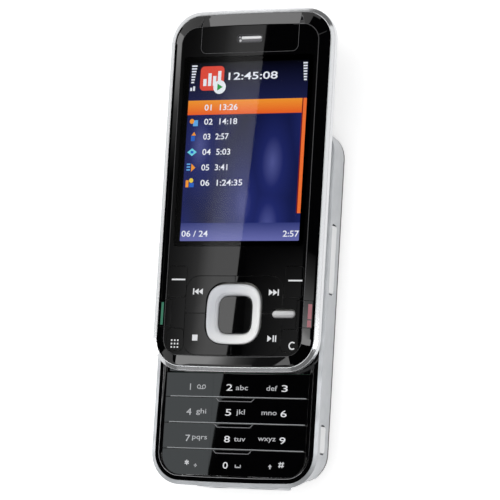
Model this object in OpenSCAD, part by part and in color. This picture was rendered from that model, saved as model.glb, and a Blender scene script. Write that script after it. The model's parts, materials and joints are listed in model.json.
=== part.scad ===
// Slider phone, lying on its back with the display half slid open.
// Millimetres. +X is the phone's right, +Y its earpiece end and +Z out of the display.
// The origin is the middle of the base half's back. The upper half is centred at
// y = slide_travel, and at y = 0 when the phone is closed.

/* [Body] */
// Width of both halves
body_w = 50.8; // [49:0.2:56]
// Length of each half
body_l = 102; // [101:0.5:110]
// Corner radius of both halves, seen from the front
corner_r = 8.8; // [8:0.1:9.6]
// How far each end bows out at its middle
end_crown = 0.45; // [0.2:0.05:0.6]
// Thickness of the base half up to its deck
base_t = 12.8; // [12.6:0.1:14]
// Depth of the rounding between the sides and the back
back_round = 3.0; // [2.6:0.1:3.2]
// How far the sides draw in from the widest line to the back rounding
side_taper = 1.25; // [0.9:0.05:1.5]
// How far the bottom end draws in, down to the back rounding
bottom_taper = 2.2; // [1.4:0.1:2.4]
// Width of the bright chamfer round the base's front
base_chamfer = 1.1; // [0.9:0.05:1.2]
// Height of that chamfer
base_chamfer_h = 0.4; // [0.3:0.05:0.6]
// Wall of the base frame
base_wall = 2.0; // [1.8:0.1:2.1]

/* [Upper half] */
// Height of the bright rim
rim_h = 3.2; // [3.1:0.1:4]
// Wall of the bright rim
rim_wall = 1.5; // [1.3:0.1:1.6]
// Width of the rim's front chamfer
rim_chamfer = 1.1; // [0.8:0.05:1.2]
// Height of the rim's front chamfer
rim_chamfer_h = 0.4; // [0.3:0.05:0.6]
// Thickness of the front cover
cover_t = 1.5; // [1.5:0.1:1.8]
// Width of the sloping border along the sides of the front
bevel_w = 3.1; // [2.9:0.1:3.3]
// Thickness of the plate at the back of the upper half
back_plate_t = 0.8; // [0.6:0.05:0.9]

/* [Display] */
// Distance of the lit area from each side
display_side = 7.0; // [6.7:0.1:9.4]
// Distance of the lit area from the upper half's top end
display_top_in = 15.1; // [14:0.1:18]
// Distance of the lit area from the upper half's bottom end
display_low_in = 36.3; // [34:0.1:40]
// Thickness of the clear window
window_t = 0.7; // [0.5:0.05:0.8]
// Width of the ledge that the window is stuck to
window_ledge = 1.6; // [1.2:0.1:1.6]
// Thickness of the ledge
ledge_t = 0.3; // [0.2:0.05:0.4]

/* [Earpiece] */
// Distance of the plate round the earpiece from each side
ear_plate_side = 10.3; // [9.9:0.1:13.4]
// Distance of the plate's lower edge from the window
ear_plate_gap = 0.85; // [0.6:0.05:1.5]
// Width of the earpiece slot
ear_slot_w = 7.6; // [6:0.1:9]
// Height of the earpiece slot
ear_slot_l = 2.1; // [1.8:0.1:2.6]
// Middle of the slot, from the plate's lower edge
ear_slot_up = 3.95; // [3:0.05:4.2]

/* [Front keys] */
// Middle of the navigation ring, from the upper half's bottom end
ring_in = 16.0; // [15.8:0.1:16.3]
// Width and length of the navigation ring
ring_w = 17.1; // [15:0.1:17.6]
// Corner radius of the navigation ring
ring_r = 5.5; // [4.5:0.1:6]
// Width of the select key inside the ring
select_w = 10.8; // [9:0.1:11.4]
// Length of the select key inside the ring
select_l = 10.1; // [9:0.1:11.4]
// Corner radius of the select key
select_r = 2.7; // [2:0.1:3.2]
// How far the ring stands above the front
ring_proud = 0.1; // [0.05:0.05:0.3]
// Distance of the block of music keys from each side
music_side = 10.5; // [10.4:0.1:11.1]
// Length of the block of music keys
music_l = 22.0; // [20:0.1:22.4]
// Corner radius of the block of music keys
music_r = 4.0; // [3:0.1:5]
// Width of the long silver key
pill_w = 7.2; // [6:0.1:7.4]
// Height of the long silver key
pill_l = 2.4; // [2:0.1:2.8]
// Length of each soft key
soft_l = 8.6; // [7:0.1:8.8]
// Length of the menu and clear keys
corner_key_l = 6.2; // [5:0.1:6.4]
// Length of the call and end keys
call_l = 7.4; // [6:0.1:7.6]
// Gap round each front key
key_gap = 0.12; // [0.08:0.02:0.2]
// Travel of every pressed key
key_travel = 0.25; // [0.15:0.05:0.3]

/* [Number keys] */
// Distance of the block of number keys from each side
pad_side = 3.4; // [3.2:0.1:4.6]
// Distance of the block's lower edge from the base's bottom end
pad_in = 2.9; // [2.7:0.1:3.2]
// How much shorter the top row is than the others
top_row_less = 0.4; // [0.2:0.1:1.4]
// Radius of the block's lower corners
pad_r = 5.8; // [5.4:0.1:6.6]
// Gap between neighbouring number keys
pad_gap = 0.14; // [0.1:0.02:0.2]
// Width of the raised bar on the keys in the middle column
ridge_w = 12.0; // [8:0.2:12.4]
// Length of the raised bar
ridge_l = 1.0; // [0.6:0.1:1.4]
// Height of the raised bar
ridge_h = 0.12; // [0.08:0.02:0.15]
// How far the keys lie below the base's deck
pad_sink = 0.1; // [0.05:0.05:0.15]
// Distance of the deck's crest from the base's outline
crest_in = 2.3; // [2.1:0.1:2.5]
// How far the deck falls from its crest to the keys
dish_h = 0.2; // [0.1:0.05:0.25]

/* [Slide] */
// Travel of the upper half between closed and open
slide_travel = 31.5; // [28:0.1:31.5]
// Gap between the two halves
slide_gap = 0.3; // [0.3:0.05:0.5]
// Distance of the slide's channel from the number keys
channel_low_in = 1.2; // [1:0.1:2]
// Distance of the slide's channel from the base's top end
channel_top_in = 3.7; // [3.6:0.1:4.4]
// Distance of the sliding plate from each side
slide_plate_side = 7.2; // [7:0.1:8]
// Thickness of the sliding plate
slide_plate_t = 0.4; // [0.3:0.05:0.45]
// Thickness of the assist spring's flat wire
spring_wire = 0.44; // [0.3:0.02:0.48]
// Radius of the assist spring's loop
spring_loop_r = 3.0; // [2.4:0.1:3.2]

/* [Side keys] */
// Length of the volume key
volume_l = 18.8; // [16:0.2:20]
// Middle of the volume key, from the top end
volume_in = 38.3; // [36:0.1:40]
// Length of the camera key
camera_key_l = 7.3; // [6:0.1:8]
// Middle of the camera key, from the bottom end
camera_key_in = 13.9; // [13:0.1:15]
// Height of both side keys
side_key_h = 3.4; // [2.8:0.1:3.6]
// Middle of the side keys, below the base's front
side_key_down = 4.2; // [4:0.1:4.6]
// Gap at both ends of the side keys
side_key_end_gap = 0.45; // [0.25:0.05:0.6]
// How far the side and end keys stand out
side_key_proud = 0.15; // [0.1:0.05:0.3]
// Length of the memory card door
door_l = 13.0; // [12:0.2:14]
// Middle of the memory card door, from the bottom end
door_in = 20.0; // [18:0.2:22]
// Height of the memory card door
door_h = 3.0; // [2.6:0.1:3.2]

/* [Inside the base] */
// Distance of the battery from each side
battery_side = 8; // [7.5:0.5:9]
// Distance of the battery from the bottom end
battery_low_in = 15; // [14:0.5:18]
// Distance of the battery from the top end
battery_top_in = 37; // [36:0.5:41]
// Thickness of the battery
battery_t = 5.0; // [4.5:0.1:5.1]
// Thickness of the battery cover
back_cover_t = 0.95; // [0.8:0.05:0.95]
// Length of the fixed back panel, beyond the battery cover
back_panel_l = 29.1; // [28:0.1:30]
// Bore of the audio socket, for a plug of 3.5 mm
jack_bore = 3.6; // [3.54:0.02:3.7]
// Depth of the audio socket's bore
jack_depth = 14.0; // [13:0.1:14.4]
// Bore of the charging socket, for a plug of 2 mm
charge_bore = 2.1; // [2.04:0.02:2.2]
// Radius of the camera's window
camera_r = 3.3; // [2.8:0.1:3.5]

/* [Hidden] */

$fn = 48;
cut = 0.02;                 // how far a cutting shape runs past what it cuts
fit_gap = 0.1;              // gap between fixed pieces that are set into each other
seat_gap = 0.05;            // gap between fixed pieces that lie on each other
corner_steps = 10;          // straight pieces in each quarter round of an outline
crown_steps = 8;            // straight pieces along each bowed end
min_corner = 1.5;           // least corner radius of an inset outline

half_w = body_w / 2;
half_l = body_l / 2;
music_w = body_w - 2 * music_side;
ear_plate_w = body_w - 2 * ear_plate_side;
ear_plate_l = display_top_in - window_ledge - ear_plate_gap;
ear_slot_in = ear_plate_l - ear_slot_up;

// Levels of the upper half
upper_z = base_t + slide_gap;
rim_z = upper_z + rim_h;
front_z = rim_z + cover_t;
rim_belt_low = 1.2;         // height of the rim's widest band above its back edge
rim_back_inset = 0.5;       // how far the rim draws in at its back edge
bottom_bevel_w = bevel_w - 0.2;
top_bevel_w = bevel_w + 0.6;

// Front keys: caps stand on a rubber mat over the key board
cap_depth = 1.7;            // height of a front key cap
cap_z = front_z - cap_depth;
mat_t = 0.5;                // thickness of the rubber mats
mat_gap = key_travel + seat_gap;
nav_mat_z = cap_z - mat_gap - mat_t;
board_t = 0.7;              // thickness of the circuit boards
dome_gap = 0.2;             // gap between a board and the mat over it
nav_board_z = nav_mat_z - dome_gap - board_t;
ring_y = ring_in - half_l;
music_shift = -0.6;         // the music keys' middle, from the ring's
music_y = ring_y + music_shift;
side_key_x0 = music_w / 2 + 0.2;
flat_x = half_w - rim_chamfer - bevel_w;
soft_w = flat_x - 0.5 - side_key_x0;
soft_x = side_key_x0 + soft_w / 2;
soft_r = 0.8;
soft_y = ring_y + 8.8;
corner_key_w = flat_x - 1.1 - side_key_x0;
corner_key_x = side_key_x0 + corner_key_w / 2;
corner_key_r = 1.2;
corner_key_y = ring_y - 7.4;
pill_x = side_key_x0 + 0.1;
call_x0 = pill_x + pill_w / 2 + 2 * key_gap + 0.25;
call_x1 = half_w - rim_wall - 0.4;
call_foot = 1.1;            // how far the foot of the call and end keys is set in

// Display and window
display_w = body_w - 2 * display_side;
display_l = body_l - display_top_in - display_low_in;
display_y = (display_low_in - display_top_in) / 2;
window_z = front_z - window_t;
ledge_z = window_z - ledge_t;
display_z = ledge_z - seat_gap;
display_border = 0.5;       // margin round the lit area, under the ledge
glass_t = 1.2;              // thickness of the display's glass
tray_wall = 0.3;            // sheet of the display's steel tray
tray_z = upper_z + back_plate_t + 0.3;
window_r = 1.0;

// Screws of the upper half
upper_screw_r = 0.6;
upper_head_r = 1.3;
upper_head_t = 0.4;
upper_screw_l = 2.5;
upper_boss_r = 1.5;
screw_gap = 0.05;           // radial gap between a screw and its hole
upper_top_in = 5.2;         // upper screws, from the sides and the top end
upper_low_x = half_w - 15;  // lower screws, from the middle line
upper_low_in = rim_wall + upper_boss_r + 0.2;
UPPER_SCREWS = [
    [half_w - upper_top_in, half_l - upper_top_in],
    [upper_top_in - half_w, half_l - upper_top_in],
    [upper_low_x, upper_low_in - half_l],
    [-upper_low_x, upper_low_in - half_l]
];

// Levels of the base half
chamfer_z = base_t - 0.2;   // top of the bright chamfer
widest_z = chamfer_z - base_chamfer_h;
deck_t = 0.9;               // thickness of the deck
deck_z = base_t - deck_t;
floor_z = back_cover_t + 0.05;
split_z = 3.0;              // where the base frame meets the rear shell
guide_z = base_t - 1.6;     // underside of the guide plate
pad_cap_t = 1.3;            // height of a number key cap
pad_top_z = base_t - pad_sink;
pad_cap_z = pad_top_z - pad_cap_t;
pad_mat_t = 0.6;
pad_mat_z = pad_cap_z - mat_gap - pad_mat_t;
main_board_z = pad_mat_z - dome_gap - board_t;
main_board_in = base_wall + 1.05;
pad_end_gap = 0.1;          // the number keys end this far before the open upper half
pad_w = body_w - 2 * pad_side;
row_pitch = (slide_travel - pad_end_gap - pad_in + top_row_less) / 4;
top_row_l = row_pitch - top_row_less;
pad_y0 = pad_in - half_l;
pad_y1 = pad_y0 + 3 * row_pitch + top_row_l;
column_w = pad_w / 3;
ridge_x = -0.3;             // the raised bars sit a little left of the middle

// Slide: a channel in the base holds the plate of the upper half
stop_gap = 0.15;            // gap left at each end of the travel
slide_plate_w = body_w - 2 * slide_plate_side;
channel_w = slide_plate_w + 0.4;
channel_y1 = half_l - channel_top_in;
channel_y0 = pad_y1 + channel_low_in;
channel_l = channel_y1 - channel_y0;
slide_plate_l = channel_l - slide_travel - 2 * stop_gap;
guide_sheet = 0.4;          // floor of the guide plate
guide_lip_t = 0.3;
guide_lip_w = 1.8;          // how far each lip reaches over the sliding plate
guide_wall = 0.2;
flange_w = 1.7;             // flange under the deck, each side
slide_plate_z = guide_z + guide_sheet + 0.3;
slide_plate_y1 = channel_y1 - stop_gap;
slide_plate_y0 = slide_plate_y1 - slide_plate_l;
post_r = 0.6;
post_x = channel_w / 2 - guide_lip_w - 2.7;
post_slot_w = 2.0;
post_slot_end = 1.65;       // post's middle, from the sliding plate's end when open
guide_post = [-post_x, slide_plate_y0 + post_slot_end];
slide_post = [post_x, guide_post.y + slide_travel / 2];
link_pad_x0 = -2.5;         // pads that carry the sliding plate
link_pad_x1 = post_x + 1.2;
link_pad_l = 3.2;
link_pad_in = 0.5;
spring_eye_gap = 0.1;       // gap between a post and the spring's eye
spring_z = (slide_plate_z + slide_plate_t + upper_z) / 2;
flex_x0 = 2 - post_x;
flex_w = 4.5;
flex_t = 0.15;
flex_gap = 0.5;
flex_y1 = slide_plate_y0 + slide_plate_l / 3;
flex_y0 = flex_y1 - slide_travel / 2;
flex_top_z = upper_z + back_plate_t + 0.25;

// Shielding cans on the main board, from the ends of the channel and from the ribbon
shield_w = channel_w - 4;
shield_top_in = 6;
shield_low_in = 2;
shield_flex_up = 3;
shield_flex_low = 5;
reader_w = 12;              // memory card reader
reader_l = 11.2;
holder_w = 15;              // card holder over the battery
holder_l = 12;
holder_y = -8;

// Battery bay in the rear shell
battery_w = body_w - 2 * battery_side;
battery_l = body_l - battery_low_in - battery_top_in;
battery_y = (battery_low_in - battery_top_in) / 2;
back_split_y = half_l - back_panel_l;
bay_gap = 0.3;
bay_wall = 0.9;
bay_roof_z = floor_z + 0.1 + battery_t + 0.2;
bay_roof_t = 0.6;

// Sockets, motor and camera
inner_z = (split_z + main_board_z) / 2;
opening_in = 4;             // reach of the openings' cutters, inwards and outwards
opening_out = 2;
jack_in = 13;               // audio socket, from the left side
jack_x = jack_in - half_w;
jack_r = jack_bore / 2 + 0.5;
jack_nose = 3.5;            // round part of the audio socket's housing
charge_x = -6.5;
charge_r = 2.2;
charge_l = 6.6;
charge_depth = 5.5;
usb_x = 6.3;
usb_w = 8.0;
usb_h = 2.9;
usb_l = 5.4;
usb_wall = 0.35;
block_x0 = -11.9;           // block round the bottom sockets
block_x1 = 13.9;
block_z1 = base_t - 1.9;
socket_face_y = 0.15 - half_l;
motor_in = 9;               // vibration motor, from the left side
motor_l = 8;
motor_x0 = motor_in - half_w;
motor_x1 = motor_x0 + motor_l;
motor_r = 1.9;
motor_z = split_z + motor_r + 0.3;
motor_y = battery_y - battery_l / 2 - bay_gap - bay_wall - motor_r - 1.2;
shaft_r = 0.35;
shaft_gap = 0.03;
shaft_l = 3.2;
weight_r = 1.65;
weight_t = 2.4;
camera_y = half_l - 14;
camera_body = 9;
flash_x = 8;
flash_r = 1.2;
speaker_x = half_w - 10.5;
speaker_w = 9;
speaker_l = 12;
speaker_y = back_split_y + 2.4;
ear_speaker_w = 13;         // earpiece speaker and its neck
ear_speaker_l = 6.4;
ear_speaker_r = 2.4;
ear_neck_w = 10;
ear_neck_l = 4.2;
ear_neck_r = 1.6;

// Screws of the base half
base_screw_r = 0.7;
base_head_r = 1.5;
base_head_t = 0.5;
base_screw_l = 4.6;
base_boss_r = 1.9;
base_screw_in = 6.2;
BASE_SCREWS = [for (sx = [-1, 1], sy = [-1, 1])
    [sx * (half_w - base_screw_in), sy * (half_l - base_screw_in)]];

// Keys on the sides and the top end
volume_y = half_l - volume_in;
camera_key_y = camera_key_in - half_l;
door_y = door_in - half_l;
side_key_z = base_t - side_key_down;
side_key_depth = 2.2;
side_key_r = 0.8;
side_key_gap = 0.15;
power_w = 7.0;
power_h = 2.4;
hold_x = half_w - 14.8;
hold_w = 3.6;
hold_h = 1.8;
hold_travel = 2.0;
door_t = 1.0;
door_z0 = side_key_z - door_h / 2;

// Outlines ---------------------------------------------------------------

function quarter(x, y, r, start) = [for (i = [0 : corner_steps])
    let (a = start + 90 * i / corner_steps) [x + r * cos(a), y + r * sin(a)]];

function end_row(x, y) = [for (i = [1 : crown_steps - 1]) [x * (1 - 2 * i / crown_steps), y]];

// A rounded outline whose two ends bow out; hl is its half length at the middle
function outline(hw, hl, r, yc) = [
    for (p = concat(
        quarter(hw - r, hl - r, r, 0), end_row(hw - r, hl),
        quarter(r - hw, hl - r, r, 90), quarter(r - hw, r - hl, r, 180),
        end_row(r - hw, -hl), quarter(hw - r, r - hl, r, 270)))
    [p.x, p.y - sign(p.y) * end_crown * pow(p.x / hw, 2) + yc]];

// [half width, half length, corner radius, middle, height] of the body at a level
function ring(side, low, high, z) = [
    half_w - side, half_l - (low + high) / 2,
    max(corner_r - side, min_corner), (low - high) / 2, z];

// The base's outer face below its widest line: a taper, then the back rounding
function taper_at(z, taper) = z >= back_round
    ? taper * (widest_z - z) / (widest_z - back_round)
    : taper + back_round * (1 - sqrt(1 - pow(1 - z / back_round, 2)));

function base_ring(z) = ring(
    taper_at(z, side_taper), taper_at(z, bottom_taper), taper_at(z, side_taper), z);

// Depth of the base's side and top end at a level, from the middle
function side_at(z) = half_w - taper_at(z, side_taper);

// Shared shapes ----------------------------------------------------------

module loft(rings) {
    outlines = [for (g = rings) outline(g[0], g[1], g[2], g[3])];
    n = len(outlines[0]);
    points = [for (k = [0 : len(rings) - 1]) for (p = outlines[k]) [p.x, p.y, rings[k][4]]];
    last = n * (len(rings) - 1);
    walls = [for (k = [0 : len(rings) - 2], i = [0 : n - 1])
        let (a = k * n + i, b = k * n + (i + 1) % n)
        each [[a, a + n, b + n], [a, b + n, b]]];
    polyhedron(points, concat(
        [[for (i = [0 : n - 1]) i]], walls, [[for (i = [n - 1 : -1 : 0]) last + i]]));
}

// An upright plate with the body's outline, set in by inset
module body_plate(inset, z0, z1) {
    g = ring(inset, inset, inset, z0);
    translate([0, 0, z0])
        linear_extrude(z1 - z0)
            polygon(outline(g[0], g[1], g[2], g[3]));
}

module rounded_rect(w, l, r) {
    square([w - 2 * r, l], center = true);
    square([w, l - 2 * r], center = true);
    for (sx = [-1, 1], sy = [-1, 1])
        translate([sx * (w / 2 - r), sy * (l / 2 - r)])
            circle(r);
}

module rounded_block(x, y, z0, z1, w, l, r) {
    translate([x, y, z0])
        linear_extrude(z1 - z0)
            rounded_rect(w, l, r);
}

module box(x0, x1, y0, y1, z0, z1) {
    translate([x0, y0, z0])
        cube([x1 - x0, y1 - y0, z1 - z0]);
}

// A peg along Z
module peg(p, r, z0, z1) {
    translate([p.x, p.y, z0])
        cylinder(r = r, h = z1 - z0);
}

// A peg along Y
module peg_y(x, z, r, y0, y1) {
    translate([x, y0, z])
        rotate([-90, 0, 0])
            cylinder(r = r, h = y1 - y0);
}

// A rounded bar whose face points along X, from x0 to x1
module side_bar(x0, x1, y, z, l, h, r) {
    translate([x0, y, z])
        rotate([90, 0, 90])
            linear_extrude(x1 - x0)
                rounded_rect(l, h, r);
}

// A rounded bar whose face points along Y, from y0 to y1
module end_bar(x, y0, y1, z, w, h, r) {
    translate([x, y1, z])
        rotate([90, 0, 0])
            linear_extrude(y1 - y0)
                rounded_rect(w, h, r);
}

module at_upper() {
    translate([0, slide_travel, 0])
        children();
}

// Outlines of the front keys, grown by g -----------------------------------

module music_shape(g) {
    translate([0, music_y])
        rounded_rect(music_w + 2 * g, music_l + 2 * g, music_r + g);
}

module ring_shape(g) {
    translate([0, ring_y])
        rounded_rect(ring_w + 2 * g, ring_w + 2 * g, ring_r + g);
}

module select_shape(g) {
    translate([0, ring_y])
        rounded_rect(select_w + 2 * g, select_l + 2 * g, select_r + g);
}

module pill_shape(g) {
    translate([pill_x, ring_y])
        rounded_rect(pill_w + 2 * g, pill_l + 2 * g, pill_l / 2 + g - cut);
}

module soft_shape(side, g) {
    translate([side * soft_x, soft_y])
        rounded_rect(soft_w + 2 * g, soft_l + 2 * g, soft_r + g);
}

module corner_shape(side, g) {
    translate([side * corner_key_x, corner_key_y])
        rounded_rect(corner_key_w + 2 * g, corner_key_l + 2 * g, corner_key_r + g);
}

module front_cap(top) {
    translate([0, 0, cap_z])
        linear_extrude(top - cap_z)
            children();
}

// Upper half ---------------------------------------------------------------

// The cover's outer form, from the rim up to the flat front
module cover_form() {
    loft([
        ring(rim_chamfer, rim_chamfer, rim_chamfer, rim_z),
        ring(rim_chamfer + bevel_w, rim_chamfer + bottom_bevel_w,
            rim_chamfer + top_bevel_w, front_z)
    ]);
}

module ear_plate_shape(g) {
    y0 = half_l - ear_plate_l - g;
    r = 1.8;
    translate([0, y0 + half_l / 2])
        rounded_rect(ear_plate_w + 2 * g, half_l, r);
}

module front_cover() {
    lip_h = 1.1;
    lip_t = 0.9;
    lip_inset = rim_wall + fit_gap;
    color([0.02, 0.02, 0.025]) at_upper() difference() {
        union() {
            cover_form();
            difference() {
                body_plate(lip_inset, rim_z - lip_h, rim_z + cut);
                body_plate(lip_inset + lip_t, rim_z - lip_h - cut, rim_z + 2 * cut);
            }
            for (p = UPPER_SCREWS)
                peg(p, upper_boss_r, upper_z + back_plate_t + seat_gap, rim_z + cut);
        }
        // Window recess, view opening and the room for the display under the ledge
        rounded_block(0, display_y, window_z, front_z + cut,
            display_w + 2 * window_ledge, display_l + 2 * window_ledge, window_r);
        rounded_block(0, display_y, rim_z - cut, front_z, display_w, display_l, 0.3);
        rounded_block(0, display_y, rim_z - lip_h - cut, ledge_z,
            display_w + 2 * display_border + 2 * fit_gap,
            display_l + 2 * display_border + 2 * fit_gap, 0.3);
        // Earpiece plate
        translate([0, 0, rim_z])
            linear_extrude(cover_t + cut)
                ear_plate_shape(seat_gap);
        // Keys
        translate([0, 0, cap_z - mat_gap])
            linear_extrude(front_z - cap_z + mat_gap + cut) {
                music_shape(key_gap);
                pill_shape(key_gap);
                for (s = [-1, 1]) {
                    soft_shape(s, key_gap);
                    corner_shape(s, key_gap);
                }
            }
        for (s = [-1, 1])
            call_opening(s);
        for (p = UPPER_SCREWS)
            peg(p, upper_screw_r + screw_gap, upper_z, upper_z + back_plate_t + upper_screw_l);
    }
}

module call_opening(side) {
    w = call_x1 - call_x0 + 2 * key_gap;
    translate([side * (call_x0 + call_x1) / 2, ring_y, front_z])
        cube([w, call_l + 2 * key_gap, 2 * (front_z - cap_z + mat_gap)], center = true);
}

module earpiece_plate() {
    color([0.03, 0.03, 0.035]) at_upper() difference() {
        intersection() {
            cover_form();
            translate([0, 0, rim_z + seat_gap])
                linear_extrude(cover_t)
                    ear_plate_shape(0);
        }
        rounded_block(0, half_l - ear_slot_in, rim_z - cut, front_z + cut,
            ear_slot_w, ear_slot_l, 0.6);
    }
}

module earpiece_grille() {
    color([0.8, 0.8, 0.82]) at_upper() difference() {
        rounded_block(0, half_l - ear_slot_in, rim_z + 0.2, front_z - 0.2,
            ear_slot_w - 2 * seat_gap, ear_slot_l - 2 * seat_gap, 0.55);
        for (i = [-4 : 4])
            peg([i * 0.75, half_l - ear_slot_in - 0.45], 0.2, rim_z, front_z);
    }
}

module earpiece_speaker() {
    color([0.35, 0.35, 0.37]) at_upper() {
        rounded_block(0, half_l - ear_slot_in, tray_z, rim_z - 0.4,
            ear_speaker_w, ear_speaker_l, ear_speaker_r);
        rounded_block(0, half_l - ear_slot_in, rim_z - 0.4 - cut, rim_z,
            ear_neck_w, ear_neck_l, ear_neck_r);
    }
}

module upper_rim() {
    color([0.78, 0.79, 0.8]) at_upper() difference() {
        loft([
            ring(rim_back_inset, rim_back_inset, rim_back_inset, upper_z),
            ring(0, 0, 0, upper_z + rim_belt_low),
            ring(0, 0, 0, rim_z - rim_chamfer_h),
            ring(rim_chamfer, rim_chamfer, rim_chamfer, rim_z)
        ]);
        body_plate(rim_wall, upper_z - cut, rim_z + cut);
    }
}

module display_window() {
    grow = 2 * (window_ledge - seat_gap);
    color([0.6, 0.65, 0.7, 0.4]) at_upper()
        rounded_block(0, display_y, window_z, front_z,
            display_w + grow, display_l + grow, window_r - seat_gap);
}

module display_module() {
    w = display_w + 2 * display_border;
    l = display_l + 2 * display_border;
    color([0.1, 0.12, 0.45]) at_upper() {
        rounded_block(0, display_y, display_z - glass_t, display_z, w, l, 0.2);
        rounded_block(0, display_y, tray_z, display_z - glass_t + cut, w - tray_wall, l - tray_wall, 0.2);
        // Fold of the cable to the key board
        rounded_block(0, display_y - l / 2 - 1.4, tray_z - 0.05, tray_z + 0.15, 12, 3.6, 0.5);
    }
}

module navigation_board() {
    y1 = display_y - display_l / 2 - display_border - 0.4;
    y0 = -half_l + rim_wall + 2 * upper_boss_r + 0.6;
    w = 2 * (half_w - rim_wall - 2.9);
    color([0.05, 0.3, 0.15]) at_upper() {
        rounded_block(0, (y0 + y1) / 2, nav_board_z, nav_board_z + board_t, w, y1 - y0, 1.5);
        // Snap domes under the keys
        for (p = [[0, ring_y], [0, ring_y + 6.8], [0, ring_y - 6.8], [6.8, ring_y], [-6.8, ring_y],
                [-soft_x, soft_y], [soft_x, soft_y]])
            peg(p, 1.6, nav_board_z + board_t - cut, nav_board_z + board_t + 0.15);
    }
}

module navigation_keymat() {
    y1 = soft_y + soft_l / 2 + 1.2;
    y0 = -half_l + rim_wall + 2 * upper_boss_r + 0.6;
    w = 2 * (half_w - rim_wall - 1.3);
    color([0.75, 0.75, 0.72]) at_upper()
        rounded_block(0, (y0 + y1) / 2, nav_mat_z, nav_mat_z + mat_t, w, y1 - y0, 4.5);
}

module upper_back_cover() {
    color([0.16, 0.16, 0.17]) at_upper() difference() {
        body_plate(rim_wall + fit_gap, upper_z, upper_z + back_plate_t);
        for (p = UPPER_SCREWS) {
            peg(p, upper_screw_r + screw_gap, upper_z - cut, upper_z + back_plate_t + cut);
            peg(p, upper_head_r + screw_gap, upper_z - cut, upper_z + upper_head_t + seat_gap);
        }
        translate([0, -slide_travel, 0])
            flex_slot(upper_z - cut, upper_z + back_plate_t + cut, flex_y1);
    }
}

// A slot for the ribbon at y
module flex_slot(z0, z1, y) {
    box(flex_x0 - flex_gap, flex_x0 + flex_w + flex_gap,
        y - flex_gap - flex_t, y + flex_gap + flex_t, z0, z1);
}

module slide_plate() {
    top = slide_plate_z + slide_plate_t;
    color([0.62, 0.63, 0.65]) {
        difference() {
            box(-slide_plate_w / 2, slide_plate_w / 2, slide_plate_y0, slide_plate_y1,
                slide_plate_z, top);
            // Slot that the base's spring post runs along
            box(-post_x - post_slot_w / 2, -post_x + post_slot_w / 2,
                guide_post.y - post_slot_w / 2, guide_post.y + slide_travel + post_slot_w / 2,
                slide_plate_z - cut, top + cut);
            flex_slot(slide_plate_z - cut, top + cut, flex_y1);
        }
        for (y = [slide_plate_y0 + link_pad_in, slide_plate_y1 - link_pad_in - link_pad_l])
            box(link_pad_x0, link_pad_x1, y, y + link_pad_l, top - cut, upper_z);
        peg(slide_post, post_r, top - cut, upper_z - 0.1);
    }
}

module cross_head(p, z, r) {
    for (a = [0, 90])
        translate([p.x, p.y, z])
            rotate([0, 0, a])
                cube([1.3 * r, 0.3 * r, 0.4], center = true);
}

module upper_screws() {
    head_z = upper_z + seat_gap;
    color([0.3, 0.3, 0.32]) at_upper()
        for (p = UPPER_SCREWS)
            difference() {
                union() {
                    peg(p, upper_head_r, head_z, head_z + upper_head_t - seat_gap);
                    peg(p, upper_screw_r, head_z, upper_z + back_plate_t + upper_screw_l - 0.2);
                }
                cross_head(p, head_z, upper_head_r);
            }
}

// Front keys -----------------------------------------------------------------

module navigation_ring() {
    color([0.85, 0.86, 0.87]) at_upper() difference() {
        front_cap(front_z + ring_proud)
            difference() {
                ring_shape(0);
                select_shape(key_gap);
            }
    }
}

module select_key() {
    color([0.03, 0.03, 0.035]) at_upper()
        front_cap(front_z - ring_proud)
            select_shape(0);
}

module soft_key(side) {
    color([0.02, 0.02, 0.025]) at_upper()
        front_cap(front_z)
            soft_shape(side, 0);
}

module corner_key(side) {
    color([0.02, 0.02, 0.025]) at_upper()
        front_cap(front_z)
            corner_shape(side, 0);
}

// One corner of the block of music keys, round the ring
module music_key(sx, sy) {
    color([0.02, 0.02, 0.025]) at_upper()
        front_cap(front_z)
            difference() {
                intersection() {
                    music_shape(0);
                    translate([sx * (music_w + key_gap) / 2, ring_y + sy * (music_l + key_gap) / 2])
                        square([music_w, music_l], center = true);
                }
                ring_shape(key_gap);
                pill_shape(key_gap);
            }
}

module multimedia_key() {
    color([0.8, 0.81, 0.82]) at_upper()
        front_cap(front_z + ring_proud)
            pill_shape(0);
}

// A key that runs from the flat front down the sloping border
module border_key(side) {
    slope = cover_t / bevel_w;
    foot_x = call_x1 - call_foot;
    edge_z = front_z - (call_x1 - flat_x) * slope;
    color([0.02, 0.02, 0.025]) at_upper()
        translate([0, ring_y + call_l / 2, 0])
            rotate([90, 0, 0])
                linear_extrude(call_l)
                    polygon([for (p = [
                        [call_x0, cap_z], [foot_x, cap_z], [foot_x, rim_z + 0.1],
                        [call_x1, rim_z + 0.1], [call_x1, edge_z], [flat_x, front_z],
                        [call_x0, front_z]]) [side * p.x, p.y]]);
}

// Base half -------------------------------------------------------------------

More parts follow.
